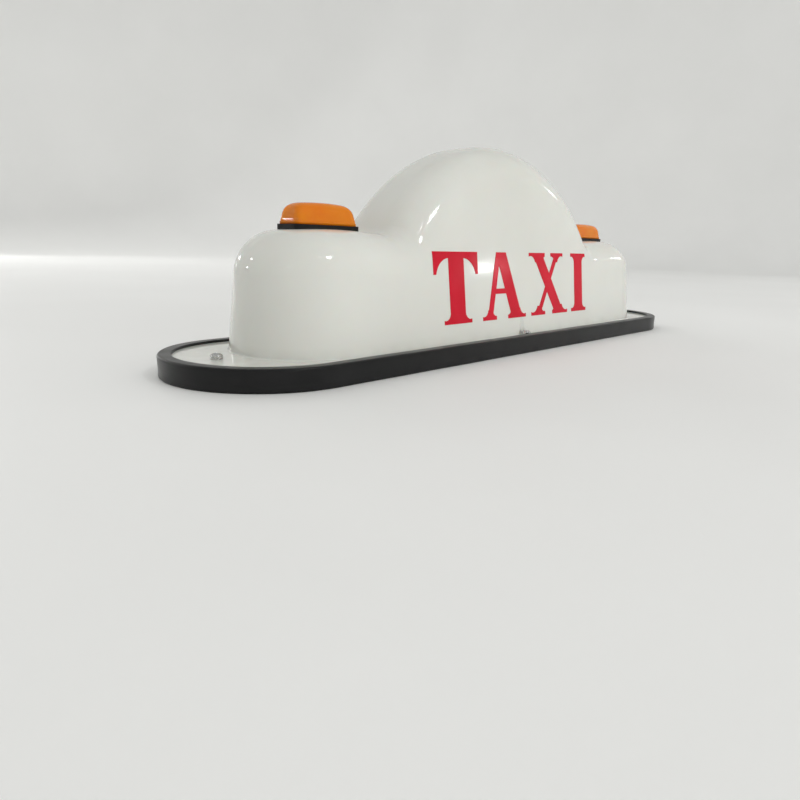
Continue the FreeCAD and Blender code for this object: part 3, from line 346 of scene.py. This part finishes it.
class Build:
    """Vertices and faces of one mesh, put together from rings."""

    def __init__(self):
        self.vertices = []
        self.faces = []

    def ring(self, points):
        """Adds points and returns their indices."""
        first = len(self.vertices)
        self.vertices += [tuple(p) for p in points]
        return list(range(first, len(self.vertices)))

    def band(self, lower, upper):
        """Faces between two rings; a ring of one point makes a fan."""
        count = max(len(lower), len(upper))
        for i in range(count):
            j = (i + 1) % count
            if len(lower) == 1:
                self.faces.append((lower[0], upper[j], upper[i]))
            elif len(upper) == 1:
                self.faces.append((lower[i], lower[j], upper[0]))
            else:
                self.faces.append((lower[i], lower[j], upper[j], upper[i]))

    def stack(self, rings, loop=False):
        """Bands between all neighbouring rings."""
        for lower, upper in zip(rings, rings[1:]):
            self.band(lower, upper)
        if loop:
            self.band(rings[-1], rings[0])

    def lathe(self, profile, x=0.0, y=0.0, segments=96, loop=False):
        """Turned form; a profile that starts or ends on the axis is closed there by one point."""
        rings = []
        for radius, height in profile:
            if radius < 1e-7:
                rings.append(self.ring([(x, y, height)]))
                continue
            angles = [2 * math.pi * i / segments for i in range(segments)]
            rings.append(self.ring([(x + radius * math.cos(a), y + radius * math.sin(a), height)
                                    for a in angles]))
        self.stack(rings, loop)
        return rings


def scaled(pairs):
    """Millimetre pairs as metres."""
    return [(a * MM, b * MM) for a, b in pairs]


def middle_of(node):
    """Middle of a CAD node's box."""
    low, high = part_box(node)
    return (low + high) / 2


# ---- Studio -------------------------------------------------------------------------------------
def build_camera():
    """Camera where the object is seen from its left front, close by and slightly above."""
    data = bpy.data.cameras.new("camera")
    data.lens = CAMERA_LENS
    data.shift_x, data.shift_y = CAMERA_SHIFT
    data.clip_start = 0.01
    camera = bpy.data.objects.new("camera", data)
    bpy.context.scene.collection.objects.link(camera)
    turn = Matrix.Rotation(-CAMERA_HEADING, 4, "Z") @ Matrix.Rotation(math.pi / 2 - CAMERA_DIP, 4, "X")
    camera.matrix_world = Matrix.Translation(CAMERA_PLACE) @ turn @ Matrix.Rotation(CAMERA_ROLL, 4, "Z")
    bpy.context.scene.camera = camera


def build_light(name, place, width, height, watts, colour, mirrored):
    """Area light aimed at the middle of the object; only a mirrored one shows in glossy surfaces."""
    data = bpy.data.lights.new(name, "AREA")
    data.shape = "ELLIPSE"
    data.size = width
    data.size_y = height
    data.energy = watts
    data.color = colour
    light = bpy.data.objects.new(name, data)
    bpy.context.scene.collection.objects.link(light)
    light.location = place
    light.visible_glossy = mirrored
    aim = OBJECT_MIDDLE - Vector(place)
    light.rotation_euler = aim.to_track_quat("-Z", "Y").to_euler()


def lamp_place(heading, elevation):
    """Point at the lamps' distance from the object's middle."""
    turn, rise = math.radians(heading), math.radians(elevation)
    out = Vector((math.sin(turn) * math.cos(rise), math.cos(turn) * math.cos(rise), math.sin(rise)))
    return OBJECT_MIDDLE + out * LAMP_DISTANCE


def build_studio():
    """Pale floor that curves up into a round wall, soft lights and an even sky."""
    material = finish("pale_floor", (0.86, 0.86, 0.85), (0.89, 0.89, 0.88), 3.0, (0.5, 0.65), 12.0,
                      [(900.0, 0.00002, EVEN)])
    build = Build()
    profile = [(0.0, 0.0), (FLOOR_RADIUS, 0.0), (WALL_RADIUS, 0.0), (WALL_RADIUS, WALL_HEIGHT)]
    cove = WALL_RADIUS - FLOOR_RADIUS
    build.lathe(rounded(profile, cove, 16, closed=False), segments=128)
    mesh = bpy.data.meshes.new("floor")
    mesh.from_pydata(build.vertices, [], build.faces)
    mesh.polygons.foreach_set("use_smooth", [True] * len(mesh.polygons))
    mesh.materials.append(material)
    floor = bpy.data.objects.new("floor", mesh)
    bpy.context.scene.collection.objects.link(floor)
    for bank in SOFT_BANKS:
        build_light(*bank, mirrored=False)
    for name, heading, elevation, width, height, watts in LAMPS:
        build_light(name, lamp_place(heading, elevation), width, height, watts, WHITE, mirrored=True)
    world = bpy.data.worlds.new("studio")
    world.use_nodes = True
    sky = world.node_tree.nodes["Background"]
    sky.inputs["Color"].default_value = WORLD_COLOUR
    sky.inputs["Strength"].default_value = WORLD_STRENGTH
    bpy.context.scene.world = world
    bpy.context.scene.view_settings.view_transform = "Standard"


# ---- Edge trim ----------------------------------------------------------------------------------
TRIM_STEP = 4.0 * MM            # between two sections of the ring
TRIM_JOINT_X = 70.0 * MM        # butt joint, on the rear side
TRIM_JOINT_GAP = 0.25 * MM
TRIM_LIP = 9.5 * MM             # from the outside of the trim to the inner edge of its lips
TRIM_FLARE = 0.5 * MM           # how far the foot of the skirt spreads past its wall
TRIM_SKIRT = 3.5 * MM           # thickness of the skirt at its foot
TRIM_LOWER_LIP = 2.0 * MM       # thickness of the lip under the base plate
NOTCH_RADIUS = 4.0 * MM         # for the cable, in the middle of the rear side
LUMPS_PER_METRE = 22
RIPPLES_PER_METRE = 75
LUMP_GIVE = 0.55                # millimetres that the skirt gives way inwards
RIPPLE_GIVE = 0.18
LIP_SAG = 0.28 * MM             # of the upper lip


def trim_stations(spine):
    """Places round the ring, from its butt joint at the rear and back: (spine x, outward angle)."""
    rear = [TRIM_JOINT_X - TRIM_JOINT_GAP / 2]
    ahead = [TRIM_JOINT_X - TRIM_STEP * i for i in range(1, 400)]
    rear += [x for x in ahead if -spine < x and abs(x) > NOTCH_RADIUS * 1.2]
    rear += [NOTCH_RADIUS * 1.15 * math.cos(math.pi * i / 16) for i in range(17)]
    rear = sorted(rear, reverse=True)
    arc = [math.pi * i / 48 for i in range(49)]
    count = int(2 * spine / TRIM_STEP)
    front = [-spine + 2 * spine * i / count for i in range(1, count)]
    behind = [spine - TRIM_STEP * i for i in range(1, 400)]
    far = [x for x in behind if x > TRIM_JOINT_X + TRIM_STEP / 2]
    stations = [(x, math.pi / 2) for x in rear]
    stations += [(-spine, math.pi / 2 + a) for a in arc]
    stations += [(x, math.pi * 1.5) for x in front]
    stations += [(spine, math.pi * 1.5 + a) for a in arc]
    return stations + [(x, math.pi / 2) for x in far + [TRIM_JOINT_X + TRIM_JOINT_GAP / 2]]


def build_trim():
    """Extruded rubber ring with softly uneven skirt, cable notch and a butt joint at the rear."""
    low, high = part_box("edge_trim")
    outer = high.y
    spine = high.x - outer
    top = high.z
    plate_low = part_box("base_plate")[0].z
    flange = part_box("shell")[1].y
    flange_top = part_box("flange_washers")[0].z
    inner = outer - TRIM_LIP
    wall = outer - TRIM_FLARE
    lower = plate_low - TRIM_LOWER_LIP
    skirt = outer - TRIM_SKIRT
    section = [(inner, flange_top), (inner, top), (wall, top), (wall, 5.0 * MM), (outer, 1.0 * MM),
               (outer - 0.6 * MM, 0.0), (skirt, 0.0), (skirt - 0.6 * MM, lower), (inner, lower),
               (inner, plate_low), (flange, plate_low), (flange, flange_top)]
    radii = [r * MM for r in (0.3, 1.1, 2.2, 3.0, 0.8, 0.5, 0.5, 0.8, 0.6, 0.3, 0.0, 0.0)]
    outline = rounded(section, radii, 4)
    build = Build()
    rings = []
    for x, angle in trim_stations(spine):
        out = Vector((math.cos(angle), math.sin(angle), 0))
        at_rear = out.y > 0.99
        in_notch = at_rear and abs(x) < NOTCH_RADIUS
        clear = math.sqrt(NOTCH_RADIUS ** 2 - x ** 2) if in_notch else 0.0
        points = []
        for distance, height in outline:
            spot = Vector((x, 0, 0)) + out * distance
            slow = Vector((spot.x * LUMPS_PER_METRE, spot.y * LUMPS_PER_METRE, 0.5))
            quick = Vector((spot.x * RIPPLES_PER_METRE, spot.y * RIPPLES_PER_METRE, 3.5))
            lump = 0.5 + 0.5 * noise.noise(slow)
            ripple = 0.5 + 0.5 * noise.noise(quick)
            if distance > skirt + 0.5 * MM and height < top - 1.0 * MM:
                give = (LUMP_GIVE * lump + RIPPLE_GIVE * ripple) * MM * (1 - height / top)
                spot -= out * give
            if height > flange_top + 0.5 * MM:
                height -= LIP_SAG * lump
            if height < lower:
                height = clear + height * (lower - clear) / lower
            points.append((spot.x, spot.y, height))
        rings.append(build.ring(points))
    build.stack(rings)
    build.faces += [tuple(rings[0][::-1]), tuple(rings[-1])]
    piece("edge_trim_ring", build, HOUSING, "trim_rubber", "edge_trim")


# ---- Fasteners ----------------------------------------------------------------------------------
SCREW_SIDES = 32
SCREW_RADIUS = 2.0 * MM
SCREW_HEAD_RADIUS = 4.0 * MM
SCREW_HEAD_RIM = 1.15 * MM      # height of the upright side of a pan head
THREAD_DEPTH = 0.28 * MM
THREAD_PITCH = 0.7 * MM
RECESS_REACH = 2.15 * MM
RECESS_HALF_WIDTH = 0.42 * MM
RECESS_DEPTH = 1.3 * MM
WASHER_BORE = 2.25 * MM
NUT_SIDES = 96
NUT_HALF_FLATS = 3.5 * MM
NUT_BORE = 2.02 * MM


def carve(obj, tool):
    """Cuts a tool object out of a piece for good."""
    cut = obj.modifiers.new("cut", "BOOLEAN")
    cut.operation = "DIFFERENCE"
    cut.object = tool
    cut.solver = "EXACT"
    while obj.modifiers[0] != cut:
        obj.modifiers.move(len(obj.modifiers) - 1, 0)
    shading = obj.modifiers["even_shading"]
    shading.show_viewport = False
    shape = obj.evaluated_get(bpy.context.evaluated_depsgraph_get())
    mesh = bpy.data.meshes.new_from_object(shape)
    shading.show_viewport = True
    obj.modifiers.remove(cut)
    old = obj.data
    obj.data = mesh
    bpy.data.meshes.remove(old)
    bpy.data.objects.remove(tool)


def thread(build, x, y, low, high):
    """Helical thread between two heights, closed at its lower end."""
    per_turn = 8
    rings = [build.ring([(x, y, low)])]
    for i in range(int((high - low) / THREAD_PITCH * per_turn) + 1):
        z = min(low + i * THREAD_PITCH / per_turn, high)
        ring = []
        for k in range(SCREW_SIDES):
            phase = (z / THREAD_PITCH - k / SCREW_SIDES) % 1.0
            r = SCREW_RADIUS - THREAD_DEPTH * abs(2 * phase - 1)
            if i == 0:
                r = SCREW_RADIUS - THREAD_DEPTH
            angle = 2 * math.pi * k / SCREW_SIDES
            ring.append((x + r * math.cos(angle), y + r * math.sin(angle), z))
        rings.append(build.ring(ring))
    build.stack(rings)
    return rings


def cross_tool(places, top):
    """Tapered cross-shaped driver recesses as one cutting tool."""
    build = Build()
    for x, y in places:
        rings = []
        for share, z in ((1.0, top + 0.6 * MM), (0.96, top), (0.5, top - RECESS_DEPTH)):
            r = RECESS_REACH * share
            w = RECESS_HALF_WIDTH * (0.7 + 0.3 * share)
            plus = [(r, -w), (r, w), (w, w), (w, r), (-w, r), (-w, w), (-r, w), (-r, -w), (-w, -w), (-w, -r),
                    (w, -r), (w, -w)]
            rings.append(build.ring([(x + a, y + b, z) for a, b in plus]))
        build.stack(rings[::-1])
        build.faces += [tuple(rings[0]), tuple(rings[-1][::-1])]
    mesh = bpy.data.meshes.new("cross_tool")
    mesh.from_pydata(build.vertices, [], build.faces)
    tool = bpy.data.objects.new("cross_tool", mesh)
    bpy.context.scene.collection.objects.link(tool)
    return tool


def hexagon_nut(build, x, y, low, high):
    """Hexagonal nut, chamfered on both faces, with a countersunk bore."""
    height = high - low
    corner = NUT_HALF_FLATS / math.cos(math.pi / 6)
    turns = [2 * math.pi * k / NUT_SIDES for k in range(NUT_SIDES)]
    levels = [0.0, 0.03, 0.06, 0.10, 0.15, 0.5, 0.85, 0.90, 0.94, 0.97, 1.0]
    rings = []
    for level in levels:
        rise = min(level, 1 - level) * height
        limit = NUT_HALF_FLATS * 0.97 + rise / math.tan(math.radians(30))
        ring = []
        for angle in turns:
            flat = NUT_HALF_FLATS / math.cos((angle + math.pi / 6) % (math.pi / 3) - math.pi / 6)
            r = min(flat, limit, corner)
            ring.append((x + r * math.cos(angle), y + r * math.sin(angle), low + level * height))
        rings.append(build.ring(ring))
    sink = 0.35 * MM
    wide = NUT_BORE + sink
    for r, z in ((wide, high), (NUT_BORE, high - sink), (NUT_BORE, low + sink), (wide, low)):
        rings.append(build.ring([(x + r * math.cos(a), y + r * math.sin(a), z) for a in turns]))
    build.stack(rings, loop=True)


def flange_screw_places():
    """Axes of the four flange screws, from the outside of their heads."""
    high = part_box("flange_screws")[1]
    far_x, far_y = high.x - SCREW_HEAD_RADIUS, high.y - SCREW_HEAD_RADIUS
    return [(far_x, 0.0), (-far_x, 0.0), (0.0, far_y), (0.0, -far_y)]


def build_flange_screws():
    """Pan-head machine screws with cross recesses and real threads, washers and chamfered nuts."""
    head = SCREW_HEAD_RADIUS
    places = flange_screw_places()
    low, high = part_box("flange_screws")
    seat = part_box("flange_washers")[1].z
    top = high.z
    rim = seat + SCREW_HEAD_RIM
    build = Build()
    for x, y in places:
        dome = [(head * 0.5, seat), (head - 0.15 * MM, seat), (head, seat + 0.2 * MM), (head, rim)]
        dome += [(head * math.cos(a), rim + (top - rim) * math.sin(a))
                 for a in (math.pi / 2 * i / 10 for i in range(1, 10))] + [(0.0, top)]
        shank = thread(build, x, y, low.z, seat)
        heads = build.lathe(dome, x, y, SCREW_SIDES)
        build.band(shank[-1], heads[0])
    screws = piece("flange_pan_head_screws", build, HOUSING, "bright_steel", "flange_screws")
    carve(screws, cross_tool(places, top))
    build = Build()
    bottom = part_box("flange_washers")[0].z
    section = [(WASHER_BORE, bottom), (head, bottom), (head, seat), (WASHER_BORE, seat)]
    ring = rounded(section, 0.22 * MM, 3)
    for x, y in places:
        build.lathe(ring, x, y, 72, loop=True)
    piece("flange_plain_washers", build, HOUSING, "bright_steel", "flange_washers")
    build = Build()
    nut_low, nut_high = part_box("flange_nuts")
    for x, y in places:
        hexagon_nut(build, x, y, nut_low.z, nut_high.z)
    piece("flange_hexagon_nuts", build, HOUSING, "bright_steel", "flange_nuts")


# ---- Amber markers ------------------------------------------------------------------------------
SIDE_STEPS = 96                 # along the long sides of a lens
END_STEPS = 30                  # across its ends
LENS_WALL = 1.8 * MM
LENS_DOME = 1.2 * MM            # rise of the roof's middle over its ends
LENS_LEDGE = 2.0 * MM           # thickness of the flange round the foot
LENS_INSET = 0.4 * MM           # from the edge of the flange to the foot of the wall
LENS_CROWN = (24.0 * MM, 9.2 * MM)
LENS_CORNER = 4.8 * MM
LENS_EDGE = 6.5 * MM
LENS_INNER_CORNER = 3.0 * MM
LENS_INNER_EDGE = 4.7 * MM
RIB_PITCH = 3.0 * MM
RIB_DEPTH = 0.45 * MM
RIB_FREE_HEIGHT = 6.0 * MM      # smooth part of the wall, under the roof
PILLAR_X = 18.0 * MM
PILLAR_SHORTFALL = 0.9 * MM     # from the top of a pillar to the roof's outside


def rounded_rectangle(x, half_length, half_depth, radius, z, pitch=0.0, rib=0.0):
    """Ring of points round a rectangle with round corners; ribs wave its straight sides inwards."""
    radius = min(radius, half_length * 0.98, half_depth * 0.98)
    corners = [(1, 1, 0.0), (-1, 1, math.pi / 2), (-1, -1, math.pi), (1, -1, math.pi * 1.5)]
    points = []
    for index, (sx, sy, start) in enumerate(corners):
        centre = Vector((sx * (half_length - radius), sy * (half_depth - radius)))
        arc = [centre + Vector((math.cos(start + a), math.sin(start + a))) * radius
               for a in (math.pi / 2 * i / 8 for i in range(9))]
        nx, ny, _ = corners[(index + 1) % 4]
        ahead = Vector((nx * (half_length - radius), ny * (half_depth - radius)))
        out = Vector((math.cos(start + math.pi / 2), math.sin(start + math.pi / 2)))
        steps = SIDE_STEPS if index % 2 == 0 else END_STEPS
        side = []
        for i in range(1, steps):
            spot = (centre + out * radius).lerp(ahead + out * radius, i / steps)
            if rib:
                along = spot.x if index % 2 == 0 else spot.y
                fade = min(1.0, 6.0 * min(i, steps - i) / steps)
                spot -= out * rib * fade * (0.5 - 0.5 * math.cos(2 * math.pi * along / pitch))
            side.append(spot)
        points += arc + side
    return [(x + p.x, p.y, z) for p in points]


def bend(start, corner, end, steps):
    """Points of a curve from start to end, drawn towards the corner."""
    shares = [step / steps for step in range(steps + 1)]
    return [tuple(start * (1 - t) ** 2 + corner * 2 * t * (1 - t) + end * t ** 2) for t in shares]


def lens_profile(foot, crown, edge):
    """Half length, half depth and height up the wall of a lens and round its top edge."""
    foot, crown = Vector(foot), Vector(crown)
    shoulder = crown - (crown - foot).normalized() * edge
    wall = [tuple(foot.lerp(shoulder, i / 6)) for i in range(6)]
    return wall + bend(shoulder, crown, crown - Vector((edge, edge, 0.0)), 12)


def close_across(build, ring, facing_down):
    """Closes a long ring with strips from one long side to the other."""
    count = len(ring)
    end = count - END_STEPS // 2
    near = [ring[(end + i) % count] for i in range(count // 2 + 1)]
    far = [ring[(end - i) % count] for i in range(count // 2 + 1)]
    for i in range(count // 2):
        corners = [near[i], near[i + 1], far[i + 1], far[i]]
        face = list(dict.fromkeys(corners))
        build.faces.append(tuple(face[::-1] if facing_down else face))


def build_lens(side):
    """Hollow amber lens: thin flange, full walls ribbed inside, a domed roof and screw pillars."""
    node = side + "_marker_lens"
    low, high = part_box(node)
    x = (low.x + high.x) / 2
    length = (high.x - low.x) / 2
    depth = (high.y - low.y) / 2
    roof = high.z - LENS_DOME
    ledge = low.z + LENS_LEDGE
    foot = (length - LENS_INSET, depth - LENS_INSET)

    def domed(points):
        """Lifts the middle of a ring in proportion to its height above the flange."""
        lift = LENS_DOME * max(points[0][2] - ledge, 0.0) / (roof - ledge)
        return [(px, py, pz + lift * (1 - ((px - x) / LENS_CROWN[0]) ** 2)) for px, py, pz in points]

    build = Build()
    flange = [(length, depth, low.z), (length, depth, ledge), (*foot, ledge), (*foot, ledge + 0.5 * MM)]
    outside = rounded(flange, 0.25 * MM, 3, closed=False)
    outside += lens_profile((*foot, ledge + 1.0 * MM), (*LENS_CROWN, roof), LENS_EDGE)
    shells = [build.ring(domed(rounded_rectangle(x, half_length, half_depth, LENS_CORNER, z)))
              for half_length, half_depth, z in outside]
    hollow_foot = (foot[0] - LENS_WALL, foot[1] - LENS_WALL, low.z)
    hollow_crown = (LENS_CROWN[0] - LENS_WALL, LENS_CROWN[1] - LENS_WALL, roof - LENS_WALL)
    inside = []
    for half_length, half_depth, z in lens_profile(hollow_foot, hollow_crown, LENS_INNER_EDGE)[::-1]:
        rib = RIB_DEPTH if z < roof - RIB_FREE_HEIGHT else 0.0
        outline = rounded_rectangle(x, half_length, half_depth, LENS_INNER_CORNER, z, RIB_PITCH, rib)
        inside.append(build.ring(domed(outline)))
    build.stack(shells)
    build.stack(inside)
    build.band(inside[-1], shells[0])
    close_across(build, shells[-1], False)
    close_across(build, inside[0], True)
    board_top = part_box(side + "_marker_board")[1].z
    pillar_top = (roof - board_top - PILLAR_SHORTFALL) / MM
    pillar = [(1.45, 0.0), (2.8, 0.0), (2.65, pillar_top), (0.0, pillar_top), (0.0, 6.0), (1.45, 6.0)]
    for screw_x in (x - PILLAR_X, x + PILLAR_X):
        build.lathe([(r * MM, board_top + z * MM) for r, z in pillar], screw_x, 0.0, 32)
    piece(side + "_amber_lens", build, HOUSING, "amber_lens", node)


# ---- Feet under the base ------------------------------------------------------------------------
PLATE_THICKNESS = 1.5           # millimetres, as are the turned outlines below
BOOT_WALL = 1.0 * MM
BOOT_GROOVES = (9.0, 14.0, 19.0, 24.0)      # inner radii of the grip grooves
CUP_HOLLOW_RADIUS = 20.5
CUP_HOLLOW_HEIGHT = 4.5


def build_magnet_boot(place):
    """Rubber boot with a rolled rim and grip rings under it."""
    node = place + "_magnet_boot"
    centre = middle_of(node)
    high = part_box(node)[1]
    radius = high.x - centre.x
    outline = [(0.0, 0.0)]
    for groove in BOOT_GROOVES:
        outline += [(groove * MM, 0.0), ((groove + 0.4) * MM, 0.4 * MM),
                    ((groove + 1.2) * MM, 0.4 * MM), ((groove + 1.6) * MM, 0.0)]
    outline += [(radius - 0.9 * MM, 0.0), (radius, 0.9 * MM), (radius - 0.25 * MM, 3.0 * MM),
                (radius, high.z - 0.8 * MM), (radius - 0.2 * MM, high.z), (radius - BOOT_WALL, high.z),
                (radius - BOOT_WALL, BOOT_WALL), (0.0, BOOT_WALL)]
    build = Build()
    build.lathe(rounded(outline, 0.25 * MM, 3, closed=False), centre.x, centre.y, 128)
    piece(place + "_foot_boot", build, place + "_foot", "boot_rubber", node)


def build_suction_cup(side):
    """Suction cup with a feathered lip, sealing rings inside, ribs on its back and a snap neck."""
    node = side + "_suction_cup"
    centre = middle_of(node)
    plate_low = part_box("base_plate")[0].z / MM
    plate_high = plate_low + PLATE_THICKNESS
    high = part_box(node)[1].z / MM
    hollow = [(r, CUP_HOLLOW_HEIGHT * (1 - (r / CUP_HOLLOW_RADIUS) ** 2) ** 0.8)
              for r in (0.0, 3.0, 6.0, 9.0, 12.0, 14.5, 16.5, 18.3, 19.6)]
    rings = [(20.5, 0.0), (21.2, 0.12), (21.6, 0.0), (22.0, 0.0), (21.8, 0.7), (20.6, 1.7), (18.0, 3.1),
             (17.3, 3.1), (16.7, 3.7), (13.6, 4.7), (12.9, 4.6), (12.3, 5.1), (10.0, 5.7), (8.5, 6.2)]
    neck = [(7.5, plate_low), (4.5, plate_low), (4.5, plate_high), (6.5, plate_high),
            (6.5, plate_high + 0.8), (4.0, high), (0.0, high)]
    build = Build()
    outline = rounded(scaled(hollow + rings + neck), 0.4 * MM, 3, closed=False)
    build.lathe(outline, centre.x, centre.y, 128)
    piece(side + "_sucker", build, HOUSING, "cup_rubber", node)


def build_grommet():
    """Cable grommet with a stepped sleeve and rounded flanges."""
    centre = middle_of("cable_grommet")
    low, high = (corner.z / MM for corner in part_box("cable_grommet"))
    plate_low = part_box("base_plate")[0].z / MM
    plate_high = plate_low + PLATE_THICKNESS
    outline = [(3.25, low), (6.0, low), (6.2, low + 0.6), (7.5, plate_low - 0.8), (7.5, plate_low),
               (5.5, plate_low), (5.5, plate_high), (7.5, plate_high), (7.5, plate_high + 1.0),
               (6.0, plate_high + 1.5), (5.0, high), (3.25, high)]
    build = Build()
    build.lathe(rounded(scaled(outline), 0.35 * MM, 3), centre.x, centre.y, 96, loop=True)
    piece("cable_gland_sleeve", build, HOUSING, "trim_rubber", "cable_grommet")


# ---- Bulbs --------------------------------------------------------------------------------------
NECK_RADIUS = 6.75 * MM
GLASS_WALL = 0.7 * MM
CAP_RADIUS = 7.5 * MM
PIN_HEIGHT = 7.5 * MM           # of the bayonet pins above the bottom of the cap
PIN_SIDES = 24
FILAMENT_HALF_SPAN = 3.0 * MM
COIL_TURNS = 14
POINTS_PER_TURN = 12
COIL_RADIUS = 0.38 * MM
COIL_WIRE_RADIUS = 0.07 * MM
POST_RADIUS = 0.25 * MM


def tube_along(build, points, radius, sides=10):
    """Round wire through points, closed at both ends."""
    points = [Vector(p) for p in points]
    side = None
    rings = []
    for index, point in enumerate(points):
        ahead = (points[min(index + 1, len(points) - 1)] - points[max(index - 1, 0)]).normalized()
        side = (side or ahead.orthogonal()).normalized()
        side = (side - ahead * side.dot(ahead)).normalized()
        up = ahead.cross(side)
        angles = [2 * math.pi * k / sides for k in range(sides)]
        rings.append(build.ring([point + (side * math.cos(a) + up * math.sin(a)) * radius for a in angles]))
    build.stack(rings)
    build.faces += [tuple(rings[0][::-1]), tuple(rings[-1])]


def build_globe(place, x):
    """Blown glass with a soft neck and an even wall."""
    low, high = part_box(place + "_bulb_glass")
    globe = (high.x - low.x) / 2
    centre = high.z - globe
    lowest = low.z
    join = math.pi - math.asin(NECK_RADIUS / globe) * 1.15      # where the globe passes into its neck
    angles = [join * i / 40 for i in range(41)]
    upper = [(globe * math.sin(a), centre + globe * math.cos(a)) for a in angles]
    outer = upper + [(NECK_RADIUS, lowest + 3.0 * MM), (NECK_RADIUS, lowest + 0.8 * MM),
                     (NECK_RADIUS - 1.2 * MM, lowest), (0.0, lowest)]
    inner = [(max(r - GLASS_WALL, 0.0),
              z - (z - centre) / globe * GLASS_WALL if z > centre - globe * 0.7 else z)
             for r, z in upper]
    inner += [(NECK_RADIUS - GLASS_WALL, lowest + 3.2 * MM), (NECK_RADIUS - 1.8 * MM, lowest + 2.0 * MM),
              (0.0, lowest + 2.0 * MM)]
    build = Build()
    build.lathe(outer[::-1], x, 0.0, 64)
    build.lathe(inner, x, 0.0, 64)
    piece(place + "_glass_globe", build, place + "_bulb", "bulb_glass", place + "_bulb_glass")
    return centre, lowest


def build_cap(place, x):
    """Rolled brass cap with two bayonet pins and a contact under it."""
    low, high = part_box(place + "_bulb_cap")
    skirt = [(0.0, 0.0), (1.9, 0.0), (2.5, 0.5), (2.5, 0.9), (6.3, 1.0), (7.2, 1.4), (7.5, 2.2), (7.5, 15.2),
             (7.3, 15.6), (7.5, 16.2), (7.5, 16.8), (7.3, 17.0), (7.1, 16.8), (7.1, 5.0), (0.0, 5.0)]
    build = Build()
    build.lathe([(r * MM, low.z + z * MM) for r, z in skirt], x, 0.0, 64)
    pin_z = low.z + PIN_HEIGHT
    reach = high.x - x
    for side in (-1, 1):
        rings = []
        for r, out in ((1.0, CAP_RADIUS - 0.4 * MM), (1.0, reach - 0.25 * MM), (0.75, reach), (0.0, reach)):
            count = 1 if r == 0.0 else PIN_SIDES
            turns = [2 * math.pi * k / PIN_SIDES for k in range(count)]
            rings.append(build.ring([(x + side * out, side * r * MM * math.cos(a),
                                      pin_z + r * MM * math.sin(a)) for a in turns]))
        build.stack(rings)
        build.faces.append(tuple(rings[0][::-1]))
    piece(place + "_bayonet_cap", build, place + "_bulb", "brass", place + "_bulb_cap")


def build_filament(place, x, centre, lowest):
    """Coiled wire between two posts, at the middle of the globe."""
    span = FILAMENT_HALF_SPAN
    count = COIL_TURNS * POINTS_PER_TURN
    coil = []
    for i in range(count + 1):
        turn = 2 * math.pi * i / POINTS_PER_TURN
        coil.append((x - span * 0.9 + 1.8 * span * i / count, COIL_RADIUS * math.cos(turn),
                     centre + COIL_RADIUS * math.sin(turn)))
    build = Build()
    tube_along(build, coil, COIL_WIRE_RADIUS, 8)
    for side in (-1, 1):
        foot = (x + side * span * 0.6, 0.0, lowest + 2.0 * MM)
        knee = (x + side * span * 0.75, 0.0, lowest + 6.0 * MM)
        post = (x + side * span, 0.0, centre - 1.0 * MM)
        top = (x + side * span, 0.0, centre + 0.1 * MM)
        end = (x + side * span * 0.9, 0.0, centre)
        tube_along(build, [foot, knee, post, top, end], POST_RADIUS)
    piece(place + "_filament_coil", build, place + "_bulb", "tungsten", place + "_bulb_filament")


def build_bulb(place):
    """Bayonet bulb: globe, cap and filament, which move together."""
    cap_low, cap_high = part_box(place + "_bulb_cap")
    x = (cap_low.x + cap_high.x) / 2
    centre, lowest = build_globe(place, x)
    build_cap(place, x)
    build_filament(place, x, centre, lowest)


# ---- Everything ---------------------------------------------------------------------------------
MARKER_SIDES = ("left", "right")
FOOT_PLACES = ("outer_left", "inner_left", "inner_right", "outer_right")
BULB_PLACES = ("left", "centre", "right")


def dress_cad_nodes():
    """Gives every CAD node the material of its slot."""
    for row in frame["record"]["subparts"]:
        obj = frame["nodes"][row["node"]]
        for holder in obj.material_slots:
            holder.material = MATERIALS[row["material_slot"]]


MATERIALS = build_materials()
dress_cad_nodes()
build_camera()
build_studio()
build_trim()
build_flange_screws()
for marker_side in MARKER_SIDES:
    build_lens(marker_side)
    build_suction_cup(marker_side)
for foot_place in FOOT_PLACES:
    build_magnet_boot(foot_place)
build_grommet()
for bulb_place in BULB_PLACES:
    build_bulb(bulb_place)
